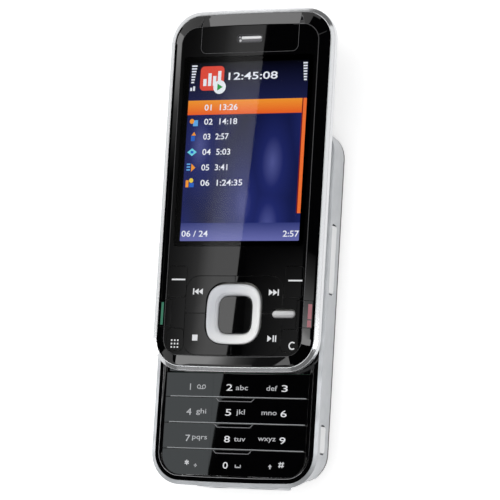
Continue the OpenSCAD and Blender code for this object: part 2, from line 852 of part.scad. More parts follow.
module base_frame() {
    color([0.76, 0.77, 0.79]) difference() {
        union() {
            difference() {
                union() {
                    loft([
                        base_ring(split_z + seat_gap), base_ring(widest_z),
                        ring(base_chamfer, base_chamfer, base_chamfer, chamfer_z)
                    ]);
                    // Straight block round the sockets at the bottom end
                    rounded_block((block_x0 + block_x1) / 2, 3 - half_l,
                        split_z + seat_gap, block_z1, block_x1 - block_x0, 6, 0.8);
                }
                body_plate(base_wall, split_z - 1, base_t + 1);
                body_plate(base_chamfer, deck_z, base_t + 1);
            }
            for (p = BASE_SCREWS)
                frame_boss(p);
        }
        for (p = BASE_SCREWS)
            peg(p, base_screw_r + screw_gap, split_z - 1, main_board_z - 0.8);
        // Openings for the keys, the door and the sockets
        for (k = [[volume_y, volume_l], [camera_key_y, camera_key_l]])
            side_bar(half_w - opening_in, half_w + opening_out, k[0], side_key_z,
                k[1] + 2 * side_key_end_gap, side_key_h + 2 * side_key_gap, side_key_r + side_key_gap);
        box(-half_w - opening_out, -half_w + opening_in, door_y - door_l / 2 - side_key_gap,
            door_y + door_l / 2 + side_key_gap, door_z0 - side_key_gap, door_z0 + door_h + side_key_gap);
        end_bar(0, half_l - opening_in, half_l + opening_out, inner_z,
            power_w + 2 * side_key_gap, power_h + 2 * side_key_gap, power_h / 2 + side_key_gap - cut);
        end_bar(hold_x + hold_travel / 2, half_l - opening_in, half_l + opening_out, inner_z,
            hold_w + hold_travel + 4 * side_key_gap, hold_h + 2 * side_key_gap, 0.5);
        peg_y(jack_x, inner_z, jack_r + fit_gap, half_l - opening_in, half_l + opening_out);
        peg_y(charge_x, inner_z, charge_r + fit_gap, -half_l - opening_out, -half_l + opening_in);
        end_bar(usb_x, -half_l - opening_out, -half_l + opening_in, inner_z,
            usb_w + 2 * fit_gap, usb_h + 2 * fit_gap, 0.6);
    }
}

// A screw boss with a web to the corner of the frame
module frame_boss(p) {
    top = main_board_z - 0.2;
    reach = base_screw_in - base_wall + 0.2;
    peg(p, base_boss_r, split_z + seat_gap, top);
    intersection() {
        translate([p.x, p.y, split_z + seat_gap])
            rotate([0, 0, atan2(sign(p.y), sign(p.x))])
                translate([0, -0.6, 0])
                    cube([reach, 1.2, top - split_z - seat_gap]);
        body_plate(base_wall - 0.4, split_z, base_t);
    }
}

module pad_shape(g) {
    l = pad_y1 - pad_y0;
    difference() {
        translate([0, (pad_y0 + pad_y1) / 2])
            rounded_rect(pad_w + 2 * g, l + 2 * g, pad_r + g);
        // The block's upper corners are square
        translate([0, pad_y1 + g + cut - pad_r])
            square([pad_w + 4, 2 * pad_r], center = true);
    }
    translate([0, pad_y1 + g - pad_r])
        square([pad_w + 2 * g, 2 * pad_r], center = true);
}

// The deck rises to a crest all round and falls again towards the keys
module keypad_bezel() {
    edge = base_chamfer + seat_gap;
    color([0.03, 0.03, 0.035]) difference() {
        loft([
            ring(edge, edge, edge, deck_z + seat_gap), ring(edge, edge, edge, chamfer_z),
            ring(crest_in, crest_in, crest_in, base_t)
        ]);
        deck_dish();
        translate([0, 0, deck_z - 1])
            linear_extrude(deck_t + 2)
                pad_shape(pad_gap);
        box(-channel_w / 2 - guide_wall - fit_gap, channel_w / 2 + guide_wall + fit_gap,
            channel_y0 - guide_wall - fit_gap, channel_y1 + guide_wall + fit_gap,
            deck_z - 1, base_t + 1);
    }
}

// What the dish takes from the deck, inside the crest
module deck_dish() {
    crest_w = 0.15;         // flat top of the crest
    low_more = 0.2;
    inner = crest_in + crest_w;
    loft([
        ring(pad_side, pad_in + low_more, pad_side, base_t - dish_h),
        ring(inner, inner, inner, base_t),
        ring(inner, inner, inner, base_t + 1)
    ]);
}

module keypad_mat() {
    color([0.75, 0.75, 0.72])
        rounded_block(0, (pad_y0 + pad_y1) / 2, pad_mat_z, pad_mat_z + pad_mat_t,
            pad_w - 1, pad_y1 - pad_y0 - 1, pad_r - 0.5);
}

// A number key: column 0 to 2 from the left, row 0 to 3 from the bottom
module number_key(column, row) {
    x0 = -pad_w / 2 + column * column_w;
    y0 = pad_y0 + row * row_pitch;
    l = row == 3 ? top_row_l : row_pitch;
    color([0.02, 0.02, 0.025]) {
        translate([0, 0, pad_cap_z])
            linear_extrude(pad_cap_t)
                intersection() {
                    pad_shape(-pad_gap / 2);
                    translate([x0 + column_w / 2, y0 + l / 2])
                        square([column_w - pad_gap, l - pad_gap], center = true);
                }
        if (column == 1 && row < 3)
            translate([0, 0, pad_top_z - cut])
                linear_extrude(ridge_h + cut)
                    ridge_shape(y0 + l - pad_gap);
    }
}

module ridge_shape(y) {
    slant = 0.9;
    polygon([
        [ridge_x - ridge_w / 2, y], [ridge_x - ridge_w / 2 + slant, y - ridge_l],
        [ridge_x + ridge_w / 2 - slant, y - ridge_l], [ridge_x + ridge_w / 2, y]]);
}

module main_board() {
    top = main_board_z + board_t;
    reader_x0 = -half_w + base_wall + 1;
    color([0.05, 0.3, 0.15]) {
        difference() {
            body_plate(main_board_in, main_board_z, top);
            flex_slot(main_board_z - cut, top + cut, flex_y0 - 2);
        }
        // Shielding cans under the guide plate
        for (y = [[flex_y0 + shield_flex_up, channel_y1 - shield_top_in],
                [channel_y0 + shield_low_in, flex_y0 - shield_flex_low]])
            box(-shield_w / 2, shield_w / 2, y[0], y[1], top - cut, guide_z - 0.1);
        // Memory card reader and card holder on the underside
        box(reader_x0, reader_x0 + reader_w, door_y - reader_l / 2, door_y + reader_l / 2,
            bay_roof_z + bay_roof_t + 0.1, main_board_z + cut);
        box(0, holder_w, holder_y - holder_l / 2, holder_y + holder_l / 2,
            bay_roof_z + bay_roof_t + 0.1, main_board_z + cut);
    }
}

module rear_shell() {
    bay_w = battery_w + 2 * bay_gap;
    bay_l = battery_l + 2 * bay_gap;
    color([0.1, 0.1, 0.11]) difference() {
        union() {
            loft([base_ring(floor_z), base_ring(1.5), base_ring(2.1), base_ring(split_z)]);
            // Fixed panel round the camera
            intersection() {
                loft([base_ring(0), base_ring(0.2), base_ring(0.6), base_ring(floor_z + cut)]);
                translate([-half_w, back_split_y, -1])
                    cube([body_w, half_l, floor_z + 2]);
            }
            box(-bay_w / 2 - bay_wall, bay_w / 2 + bay_wall,
                battery_y - bay_l / 2 - bay_wall, battery_y + bay_l / 2 + bay_wall,
                split_z - cut, bay_roof_z + bay_roof_t);
        }
        box(-bay_w / 2, bay_w / 2, battery_y - bay_l / 2, battery_y + bay_l / 2,
            -1, bay_roof_z);
        // Camera, flash, loudspeakers and screws
        peg([0, camera_y], camera_r + fit_gap, -1, split_z + 1);
        peg([flash_x, camera_y], flash_r + fit_gap, -1, floor_z);
        for (sx = [-1, 1], i = [-2 : 2])
            rounded_block(sx * speaker_x + i * 1.5, back_split_y + 4.4, -1, split_z + 1, 0.7, 4.6, 0.3);
        for (p = BASE_SCREWS) {
            peg(p, base_screw_r + screw_gap, -1, split_z + 1);
            peg(p, base_head_r + fit_gap, -1, floor_z + base_head_t + 0.1);
        }
    }
}

module battery() {
    color([0.35, 0.37, 0.4])
        rounded_block(0, battery_y, floor_z + 0.1, floor_z + 0.1 + battery_t,
            battery_w, battery_l, 1.2);
}

module camera_module() {
    color([0.08, 0.08, 0.09]) {
        peg([0, camera_y], camera_r - 0.3, floor_z, split_z + 0.3);
        rounded_block(0, camera_y, split_z + 0.2, main_board_z - 0.3, camera_body, camera_body, 0.6);
    }
}

module camera_window() {
    color([0.1, 0.12, 0.16]) {
        peg([0, camera_y], camera_r, 0.35, floor_z - seat_gap);
        peg([flash_x, camera_y], flash_r, 0.35, floor_z - seat_gap);
    }
}

module loudspeakers() {
    color([0.3, 0.3, 0.32])
        for (sx = [-1, 1]) {
            rounded_block(sx * speaker_x, speaker_y, split_z + 0.1, main_board_z - 1.0,
                speaker_w, speaker_l, 1);
        }
}

module vibration_motor() {
    color([0.7, 0.7, 0.72])
        translate([motor_x0, motor_y, motor_z])
            rotate([0, 90, 0]) {
                cylinder(r = motor_r, h = motor_x1 - motor_x0);
                cylinder(r = shaft_r, h = motor_x1 - motor_x0 + shaft_l);
            }
}

// Off-centre weight on the motor's shaft
module vibration_weight() {
    color([0.55, 0.5, 0.45])
        translate([motor_x1 + 0.4, motor_y, motor_z])
            rotate([0, 90, 0])
                difference() {
                    union() {
                        intersection() {
                            cylinder(r = weight_r, h = weight_t);
                            translate([0, -weight_r, -cut])
                                cube([weight_r, 2 * weight_r, weight_t + 2 * cut]);
                        }
                        cylinder(r = shaft_r + 0.45, h = weight_t);
                    }
                    translate([0, 0, -cut])
                        cylinder(r = shaft_r + shaft_gap, h = weight_t + 2 * cut);
                }
}

module audio_jack() {
    face = half_l - taper_at(inner_z, side_taper) - 0.1;
    color([0.15, 0.15, 0.16]) difference() {
        union() {
            peg_y(jack_x, inner_z, jack_r, face - jack_depth - 0.8, face);
            box(jack_x - jack_r, jack_x + jack_r, face - jack_depth - 0.8, face - jack_nose,
                inner_z, main_board_z - 0.05);
        }
        peg_y(jack_x, inner_z, jack_bore / 2, face - jack_depth, face + cut);
    }
}

module bottom_sockets() {
    color([0.5, 0.5, 0.52]) {
        difference() {
            peg_y(charge_x, inner_z, charge_r, socket_face_y, socket_face_y + charge_l);
            peg_y(charge_x, inner_z, charge_bore / 2, socket_face_y - cut,
                socket_face_y + charge_depth);
        }
        difference() {
            end_bar(usb_x, socket_face_y, socket_face_y + usb_l, inner_z, usb_w, usb_h, 0.5);
            end_bar(usb_x, socket_face_y - cut, socket_face_y + usb_l - usb_wall, inner_z,
                usb_w - 2 * usb_wall, usb_h - 2 * usb_wall, 0.3);
        }
        box(usb_x - 2.6, usb_x + 2.6, socket_face_y + 0.8, socket_face_y + usb_l - usb_wall + cut,
            inner_z - 0.1, inner_z + 0.4);
    }
}

// Channel sheet with two lips over the sliding plate
module guide_plate() {
    inner = channel_w / 2;
    wall = inner + guide_wall;
    lip = inner - guide_lip_w;
    floor_top = guide_z + guide_sheet;
    half = [
        [wall + flange_w, guide_z], [wall + flange_w, deck_z], [wall, deck_z],
        [wall, base_t], [lip, base_t], [lip, base_t - guide_lip_t],
        [inner, base_t - guide_lip_t], [inner, floor_top]];
    n = len(half);
    color([0.6, 0.61, 0.63]) {
        difference() {
            translate([0, channel_y1, 0])
                rotate([90, 0, 0])
                    linear_extrude(channel_l)
                        polygon(concat(half, [for (i = [n - 1 : -1 : 0]) [-half[i].x, half[i].y]]));
            flex_slot(guide_z - cut, floor_top + cut, flex_y0);
        }
        // End stops
        for (y = [channel_y0 - guide_wall, channel_y1])
            box(-wall, wall, y, y + guide_wall, guide_z, base_t);
        peg(guide_post, post_r, floor_top - cut, upper_z - 0.1);
    }
}

// Outlines of the spring's flat wire: a straight stretch and part of a ring
module wire(a, b) {
    d = b - a;
    translate(a)
        rotate(atan2(d.y, d.x))
            translate([0, -spring_wire / 2])
                square([norm(d), spring_wire]);
}

module wire_ring(c, r) {
    translate(c)
        difference() {
            circle(r + spring_wire / 2);
            circle(r - spring_wire / 2);
        }
}

// Flat wire spring between the two posts: an open loop with two arms
module assist_spring() {
    span = slide_post - guide_post;
    along = atan2(span.y, span.x);
    middle = (slide_post + guide_post) / 2;
    facing = along - 90;    // the loop's mouth faces the line between the posts
    opening = 35;           // half the angle that the loop is open
    centre = middle - (spring_loop_r + 1.2) * [cos(facing), sin(facing)];
    eye_r = post_r + spring_wire / 2 + spring_eye_gap;
    a = centre + spring_loop_r * [cos(facing - opening), sin(facing - opening)];
    b = centre + spring_loop_r * [cos(facing + opening), sin(facing + opening)];
    mouth = 2 * spring_loop_r;
    color([0.75, 0.76, 0.78])
        translate([0, 0, spring_z - spring_wire / 2])
            linear_extrude(spring_wire) {
                difference() {
                    wire_ring(centre, spring_loop_r);
                    translate(centre)
                        polygon([[0, 0],
                            [mouth * cos(facing - opening), mouth * sin(facing - opening)],
                            [mouth * cos(facing + opening), mouth * sin(facing + opening)]]);
                }
                for (arm = [[guide_post, a], [slide_post, b]]) {
                    wire(arm[0] + eye_r * (arm[1] - arm[0]) / norm(arm[1] - arm[0]), arm[1]);
                    wire_ring(arm[0], eye_r);
                    translate(arm[1])
                        circle(spring_wire / 2);
                }
            }
}

// Printed ribbon from the main board to the upper half
module slide_flex() {
    x1 = flex_x0 + flex_w;
    lie_z = guide_z + guide_sheet + 0.04;
    color([0.75, 0.5, 0.2]) {
        box(flex_x0, x1, flex_y0 - flex_t, flex_y0, main_board_z + board_t + 0.1, lie_z + flex_t);
        box(flex_x0, x1, flex_y0 - flex_t, flex_y1, lie_z, lie_z + flex_t);
        box(flex_x0, x1, flex_y1 - flex_t, flex_y1, lie_z, flex_top_z);
    }
}

module base_screws() {
    color([0.3, 0.3, 0.32])
        for (p = BASE_SCREWS)
            difference() {
                union() {
                    peg(p, base_head_r, floor_z + 0.05, floor_z + base_head_t + 0.05);
                    peg(p, base_screw_r, floor_z + 0.05, floor_z + base_screw_l);
                }
                cross_head(p, floor_z + 0.05, base_head_r);
            }
}

// Side and end keys -------------------------------------------------------------

module side_key(y, l) {
    x1 = side_at(side_key_z) + side_key_proud;
    color([0.82, 0.83, 0.84])
        side_bar(x1 - side_key_depth, x1, y, side_key_z, l, side_key_h, side_key_r);
}

module power_key() {
    y1 = half_l - taper_at(inner_z, side_taper) + side_key_proud;
    color([0.8, 0.81, 0.82])
        end_bar(0, y1 - side_key_depth, y1, inner_z, power_w, power_h, power_h / 2 - cut);
}

module hold_switch() {
    y1 = half_l - taper_at(inner_z, side_taper) + side_key_proud;
    color([0.15, 0.15, 0.16])
        difference() {
            end_bar(hold_x, y1 - side_key_depth, y1, inner_z, hold_w, hold_h, 0.4);
            for (i = [-1, 0, 1])
                box(hold_x + i * 0.8 - 0.15, hold_x + i * 0.8 + 0.15, y1 - 0.2, y1 + cut,
                    inner_z - 0.6, inner_z + 0.6);
        }
}

// Door in the left side, hinged along its lower outer edge
module card_door() {
    low = -side_at(door_z0);
    high = -side_at(door_z0 + door_h);
    color([0.7, 0.71, 0.73])
        translate([0, door_y + door_l / 2, 0])
            rotate([90, 0, 0])
                linear_extrude(door_l)
                    polygon([[low, door_z0], [low + door_t, door_z0],
                        [low + door_t, door_z0 + door_h], [high, door_z0 + door_h]]);
}

module battery_cover() {
    color([0.1, 0.1, 0.11]) intersection() {
        loft([base_ring(0), base_ring(0.2), base_ring(0.6), base_ring(back_cover_t)]);
        translate([-half_w, -half_l - 1, -1])
            cube([body_w, half_l + 1 + back_split_y - fit_gap, back_cover_t + 2]);
    }
}

front_cover();
earpiece_plate();
earpiece_grille();
earpiece_speaker();
upper_rim();
display_window();
display_module();
navigation_board();
navigation_keymat();
upper_back_cover();
slide_plate();
upper_screws();
navigation_ring();
select_key();
soft_key(-1);  // left_soft_key
soft_key(1);  // right_soft_key
music_key(-1, 1);  // previous_key
music_key(1, 1);  // next_key
music_key(-1, -1);  // stop_key
music_key(1, -1);  // play_key
multimedia_key();
corner_key(-1);  // menu_key
corner_key(1);  // clear_key
border_key(-1);  // call_key
border_key(1);  // end_key
base_frame();
keypad_bezel();
keypad_mat();
main_board();
rear_shell();
battery();
camera_module();
camera_window();
loudspeakers();
vibration_motor();
audio_jack();
bottom_sockets();
guide_plate();
assist_spring();
slide_flex();
base_screws();
number_key(0, 3);  // key_1
number_key(1, 3);  // key_2
number_key(2, 3);  // key_3
number_key(0, 2);  // key_4
number_key(1, 2);  // key_5
number_key(2, 2);  // key_6
number_key(0, 1);  // key_7
number_key(1, 1);  // key_8
number_key(2, 1);  // key_9
number_key(0, 0);  // key_star
number_key(1, 0);  // key_0
number_key(2, 0);  // key_hash
side_key(volume_y, volume_l);  // volume_key
side_key(camera_key_y, camera_key_l);  // camera_key
power_key();
hold_switch();
card_door();
battery_cover();
vibration_weight();
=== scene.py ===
"""Looks of a slider phone that lies on its back with its display half slid open.

The CAD model is the frame. Pieces whose edges show get a copy with rounded edges, the display gets
its lit picture, and the keys get their marks. Lengths are in millimetres and angles in degrees.
"""
import json
import math

import bmesh
import bpy
from mathutils import Matrix, Vector

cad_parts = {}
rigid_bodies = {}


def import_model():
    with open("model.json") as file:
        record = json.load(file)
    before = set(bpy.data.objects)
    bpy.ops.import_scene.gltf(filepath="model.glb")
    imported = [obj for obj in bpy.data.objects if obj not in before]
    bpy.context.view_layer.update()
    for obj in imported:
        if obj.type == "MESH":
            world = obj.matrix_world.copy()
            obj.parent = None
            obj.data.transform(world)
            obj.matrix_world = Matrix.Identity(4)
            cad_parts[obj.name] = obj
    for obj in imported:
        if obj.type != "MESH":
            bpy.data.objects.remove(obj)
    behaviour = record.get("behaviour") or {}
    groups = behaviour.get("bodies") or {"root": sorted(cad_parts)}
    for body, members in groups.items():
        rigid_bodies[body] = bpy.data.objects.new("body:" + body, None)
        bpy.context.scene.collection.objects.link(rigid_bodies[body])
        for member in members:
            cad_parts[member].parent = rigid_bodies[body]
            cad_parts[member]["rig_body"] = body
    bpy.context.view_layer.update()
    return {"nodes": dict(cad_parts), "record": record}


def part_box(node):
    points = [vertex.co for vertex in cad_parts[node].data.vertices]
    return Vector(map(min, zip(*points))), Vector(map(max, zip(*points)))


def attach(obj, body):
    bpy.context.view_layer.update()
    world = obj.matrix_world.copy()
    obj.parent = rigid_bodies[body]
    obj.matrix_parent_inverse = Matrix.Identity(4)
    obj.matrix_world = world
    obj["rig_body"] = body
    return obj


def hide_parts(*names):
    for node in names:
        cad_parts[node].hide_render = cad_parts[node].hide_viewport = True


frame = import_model()
MM = 0.001
SLOT_OF = {s["node"]: s["material_slot"] for s in frame["record"]["subparts"]}


def box_mm(node):
    """The low and the high corner of a node's box."""
    low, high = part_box(node)
    return low / MM, high / MM


# -------- places, from the frame
RIM_LOW, RIM_HIGH = box_mm("upper_rim")
HALF_Y = (RIM_LOW.y + RIM_HIGH.y) / 2               # middle of the display half
FRONT_RIM_Z = RIM_HIGH.z                            # where the sloping border meets the rim
FRONT_Z = box_mm("front_cover")[1].z
PAD_LOW, PAD_HIGH = box_mm("key_star")[0], box_mm("key_3")[1]
CAP_Z = box_mm("key_1")[1].z
DECK_Z = box_mm("keypad_bezel")[1].z
SCREEN_Z = box_mm("display_module")[1].z
RING_LOW, RING_HIGH = box_mm("navigation_ring")
RING_Y = (RING_LOW.y + RING_HIGH.y) / 2 - HALF_Y
RIM_CHAMFER, BORDER_W, BORDER_FALL = 1.1, 3.1, 1.5  # widths seen from the front, and the border's fall
BORDER_SLOPE = BORDER_FALL / BORDER_W
FLAT_X = RIM_HIGH.x - RIM_CHAMFER - BORDER_W        # half width of the flat front
SCREEN_W, SCREEN_LOW, SCREEN_HIGH = 36.8, -14.7, 35.9   # the lit picture, with its ends from HALF_Y
MARK_T, INK_SINK = 0.02, 0.01       # thickness of a printed mark, and how far it is set in

NUMBER_KEYS = ["key_" + name for name in (*"123456789", "star", "0", "hash")]
FLUSH_KEYS = [name + "_key" for name in ("left_soft", "right_soft", "menu", "clear",
                                         "previous", "next", "stop", "play")]


# -------- adding pieces
def add_object(name, data):
    obj = bpy.data.objects.new(name, data)
    bpy.context.scene.collection.objects.link(obj)
    return obj


def add_piece(name, mesh, node, material, stands_in=False):
    """A piece that belongs to a CAD node: it rides the node's body, takes a material, and may stand in for
    it.
    """
    obj = add_object(name, mesh)
    mesh.materials.clear()
    mesh.materials.append(material)
    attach(obj, frame["nodes"][node]["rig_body"])
    if stands_in:
        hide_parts(node)
    return obj


def add_solid(name, bm, node, material, stands_in=False, smooth=None, weight=60):
    """The same from a bmesh. Edges that turn up to smooth degrees are shaded round, and weight is how much
    the large flats keep their own shade."""
    mesh = bpy.data.meshes.new(name)
    bm.to_mesh(mesh)
    bm.free()
    obj = add_piece(name, mesh, node, material, stands_in)
    if smooth:
        for face in mesh.polygons:
            face.use_smooth = True
        mesh.set_sharp_from_angle(angle=math.radians(smooth))
        even = obj.modifiers.new("even_flats", "WEIGHTED_NORMAL")
        even.keep_sharp, even.weight = True, weight
    return obj


def add_wall(bm, low, high):
    """Side faces between two closed loops of vertices."""
    for i in range(len(low)):
        j = (i + 1) % len(low)
        bm.faces.new((low[i], low[j], high[j], high[i]))


def polar(x, y, radius, angle):
    """The point at a distance and an angle from a centre."""
    a = math.radians(angle)
    return x + radius * math.cos(a), y + radius * math.sin(a)


def srgb(r, g, b):
    """A colour given as 0-255 values, as linear numbers."""
    return tuple((c / 255 / 12.92) if c <= 10 else ((c / 255 + 0.055) / 1.055) ** 2.4 for c in (r, g, b))


def scaled(colour, share):
    return tuple(min(1, c * share) for c in colour)


# -------- node trees
class Tree:
    """The nodes of a material or the world."""

    def __init__(self, owner):
        owner.use_nodes = True
        self.tree = owner.node_tree

    def node(self, kind, **settings):
        made = self.tree.nodes.new(kind)
        for key, value in settings.items():
            setattr(made, key, value)
        return made

    def link(self, source, target):
        self.tree.links.new(source, target)

    def spread(self, value, low, high, from_low=0.35, from_high=0.65):
        ranged = self.node("ShaderNodeMapRange")
        self.link(value, ranged.inputs["Value"])
        numbers = {"From Min": from_low, "From Max": from_high, "To Min": low, "To Max": high}
        for socket, number in numbers.items():
            ranged.inputs[socket].default_value = number
        return ranged.outputs["Result"]

    def ramp(self, value, *stops):
        """A colour from a value, with stops of (place, colour)."""
        made = self.node("ShaderNodeValToRGB")
        elements = made.color_ramp.elements
        while len(elements) > len(stops):
            elements.remove(elements[-1])
        while len(elements) < len(stops):
            elements.new(0.5)
        for element, (place, colour) in zip(elements, stops):
            element.position, element.color = place, (*colour, 1)
        self.link(value, made.inputs["Fac"])
        return made.outputs["Color"]

    def product(self, first, second):
        """Two colours multiplied."""
        mix = self.node("ShaderNodeMix", data_type="RGBA", blend_type="MULTIPLY")
        mix.inputs["Factor"].default_value = 1.0
        self.link(first, mix.inputs["A"])
        self.link(second, mix.inputs["B"])
        return mix.outputs["Result"]

    def seen_plainly(self):
        """1 for the rays of the camera, of a gloss and of a clear piece, 0 for others."""
        path = self.node("ShaderNodeLightPath")
        seen = path.outputs["Is Camera Ray"]
        for kind in ("Is Glossy Ray", "Is Transmission Ray"):
            larger = self.node("ShaderNodeMath", operation="MAXIMUM")
            self.link(seen, larger.inputs[0])
            self.link(path.outputs[kind], larger.inputs[1])
            seen = larger.outputs[0]
        return seen


class Shader(Tree):
    """A Principled material whose patterns are built from the object's own coordinates."""

    def __init__(self, name, colour, roughness, metallic=0.0, **sockets):
        self.material = bpy.data.materials.new(name)
        super().__init__(self.material)
        self.colour = colour
        self.bsdf = self.tree.nodes["Principled BSDF"]
        sockets.update(Base_Color=(*colour, 1), Roughness=roughness, Metallic=metallic)
        for socket, value in sockets.items():
            self.bsdf.inputs[socket.replace("_", " ")].default_value = value
        self.where = self.node("ShaderNodeTexCoord").outputs["Object"]

    def mapped(self, scale, turn=0.0):
        """The object's coordinates, stretched and turned about z by turn radians."""
        mapping = self.node("ShaderNodeMapping")
        mapping.inputs["Rotation"].default_value = (0, 0, turn)
        mapping.inputs["Scale"].default_value = scale
        self.link(self.where, mapping.inputs["Vector"])
        return mapping.outputs["Vector"]

    def noise(self, per_mm, detail=2.0, vector=None):
        """Noise with about this many features in a millimetre."""
        tex = self.node("ShaderNodeTexNoise")
        tex.inputs["Scale"].default_value = per_mm / MM
        tex.inputs["Detail"].default_value = detail
        self.link(vector or self.where, tex.inputs["Vector"])
        return tex.outputs["Fac"]

    def cells(self, per_mm, feature="F1", distance="EUCLIDEAN", randomness=1.0, vector=None):
        """Distances in a net of cells, about this many in a millimetre."""
        tex = self.node("ShaderNodeTexVoronoi", feature=feature, distance=distance)
        tex.inputs["Scale"].default_value = per_mm / MM
        tex.inputs["Randomness"].default_value = randomness
        self.link(vector or self.where, tex.inputs["Vector"])
        return tex.outputs["Distance"]

    def along_y(self, low, high, y0, y1):
        """A value that goes from low to high between two places, counted from HALF_Y."""
        split = self.node("ShaderNodeSeparateXYZ")
        self.link(self.where, split.inputs[0])
        return self.spread(split.outputs["Y"], low, high, (HALF_Y + y0) * MM, (HALF_Y + y1) * MM)

    def colours(self, value, *stops):
        """Base colour from a value, with stops of (place, colour)."""
        self.link(self.ramp(value, *stops), self.bsdf.inputs["Base Color"])

    def mottle(self, value, dark, light, places=(0.3, 0.7)):
        """The base colour varies with a value, between two shares of itself."""
        self.colours(value, (places[0], scaled(self.colour, dark)), (places[1], scaled(self.colour, light)))

    def roughness(self, value, low, high):
        self.link(self.spread(value, low, high), self.bsdf.inputs["Roughness"])

    def bump(self, value, height, strength=1.0):
        node = self.node("ShaderNodeBump")
        node.inputs["Strength"].default_value = strength
        node.inputs["Distance"].default_value = height * MM
        self.link(value, node.inputs["Height"])
        self.link(node.outputs["Normal"], self.bsdf.inputs["Normal"])


# -------- materials
FLAKES = 14.0           # paint flakes in a millimetre
FLAKE_HEIGHT = 0.0006


def gloss(name, colour, low, high, specular=0.5):
    """Polished plastic: faint smears in the gloss and hardly any colour."""
    s = Shader(name, colour, low, Specular_IOR_Level=specular)
    s.roughness(s.noise(0.12, 3), low, high)
    s.mottle(s.noise(0.5), 1.0, 1.35)
    return s.material


def satin_metal(name, colour, metallic, low, high, bump=0.1):
    """Silver paint: fine flakes in the colour and a soft unevenness in the gloss."""
    s = Shader(name, colour, low, metallic)
    flakes = s.noise(FLAKES, 1)
    s.mottle(flakes, 0.97, 1.03)
    s.roughness(s.noise(0.3, 3), low, high)
    s.bump(flakes, FLAKE_HEIGHT, bump)
    return s.material


def silver_with_painted_shade(name, dark, light, way, start, end):
    """Silver with painted shade: lighter along a direction as if lit from there, with fine flakes."""
    s = Shader(name, light, 0.32, 0.2)
    along = s.node("ShaderNodeVectorMath", operation="DOT_PRODUCT")
    along.inputs[1].default_value = Vector(way).normalized()
    s.link(s.where, along.inputs[0])
    flakes = s.noise(FLAKES, 1)
    mixed = s.node("ShaderNodeMath", operation="MULTIPLY_ADD")
    s.link(flakes, mixed.inputs[0])
    mixed.inputs[1].default_value = 0.06
    s.link(s.spread(along.outputs["Value"], 0.0, 1.0, start * MM, end * MM), mixed.inputs[2])
    # Painted shade: the dark colour at the start of the direction, the light one at its end
    s.colours(mixed.outputs[0], (0.0, dark), (1.0, light))
    s.bump(flakes, FLAKE_HEIGHT, 0.1)
    return s.material


def brushed(name, colour, axis_scale, low, high):
    """Sheet metal with a grain along one axis."""
    s = Shader(name, colour, low, 1.0)
    grain = s.noise(3.0, 4, s.mapped(axis_scale))
    s.mottle(grain, 0.8, 1.12, (0.25, 0.75))
    s.roughness(grain, low, high)
    s.bump(grain, 0.004, 0.4)
    return s.material


def moulded(name, colour, low, high, per_mm=6.0, height=0.02):
    """Matt plastic with a fine spark-eroded texture."""
    s = Shader(name, colour, low)
    grain = s.noise(per_mm, 3)
    s.mottle(s.noise(0.15, 4), 0.85, 1.15)
    s.roughness(grain, low, high)
    s.bump(grain, height, 0.5)
    return s.material


def circuit_board(name):
    """Green solder mask over a net of tracks, with pale pads."""
    s = Shader(name, (0.03, 0.16, 0.08), 0.35)
    net = s.cells(0.7, "DISTANCE_TO_EDGE", "CHEBYCHEV")
    s.colours(net, (0.0, (0.05, 0.26, 0.12)), (0.06, (0.02, 0.12, 0.06)), (0.42, (0.02, 0.12, 0.06)),
              (0.47, (0.55, 0.5, 0.3)))
    s.bump(net, 0.03, 0.4)
    return s.material


def clear(name, tint, ior):
    """Clear plastic or glass with a faint haze."""
    s = Shader(name, tint, 0.0, Transmission_Weight=1.0, IOR=ior)
    s.roughness(s.noise(0.1, 2), 0.0, 0.015)
    return s.material


def grille_mesh(name):
    """Dark metal with a fine net of holes."""
    s = Shader(name, (0.05, 0.05, 0.055), 0.4, 0.6)
    holes = s.cells(3.2, randomness=0.1)
    s.colours(holes, (0.25, (0.01, 0.01, 0.01)), (0.4, (0.16, 0.16, 0.17)))
    s.bump(holes, 0.02, 0.5)
    return s.material


def ink(name, colour, lit=0.0):
    """Screen print: a slightly uneven coat that stands just above its surface, with a painted glow of
    strength lit.
    """
    s = Shader(name, colour, 0.4, Emission_Strength=lit, Emission_Color=(*colour, 1))
    coat = s.noise(5.0, 2)
    s.mottle(coat, 0.88, 1.06)
    s.bump(coat, 0.002, 0.3)
    return s.material


def lit(name, colour_of):
    """A lit part of the display. colour_of(shader) gives its light."""
    s = Shader(name, (0, 0, 0), 0.3, Emission_Strength=1.0, Specular_IOR_Level=0.0)
    s.link(colour_of(s), s.bsdf.inputs["Emission Color"])
    return s.material


def glow(name, colour):
    """A plain lit colour that wavers a little from place to place."""
    stops = (0.3, scaled(colour, 0.93)), (0.7, scaled(colour, 1.05))
    return lit(name, lambda s: s.ramp(s.noise(2.5, 1), *stops))


def fading_glow(name, low_colour, high_colour, y0, y1):
    """A lit colour that changes from y0 to y1."""
    return lit(name, lambda s: s.ramp(s.along_y(0, 1, y0, y1), (0, low_colour), (1, high_colour)))


def wallpaper(name):
    """A calm abstract of navy and violet: large soft folds, lighter towards the low end."""
    def folds(s):
        colour = s.ramp(s.cells(0.085, randomness=0.9, vector=s.mapped((1.0, 0.45, 1.0), 0.6)),
                        (0.0, srgb(84, 90, 152)), (0.28, srgb(34, 42, 104)),
                        (0.6, srgb(24, 31, 80)), (1.0, srgb(14, 18, 52)))
        return s.product(colour, s.along_y(0.7, 1.1, SCREEN_HIGH - 12, SCREEN_LOW))
    return lit(name, folds)


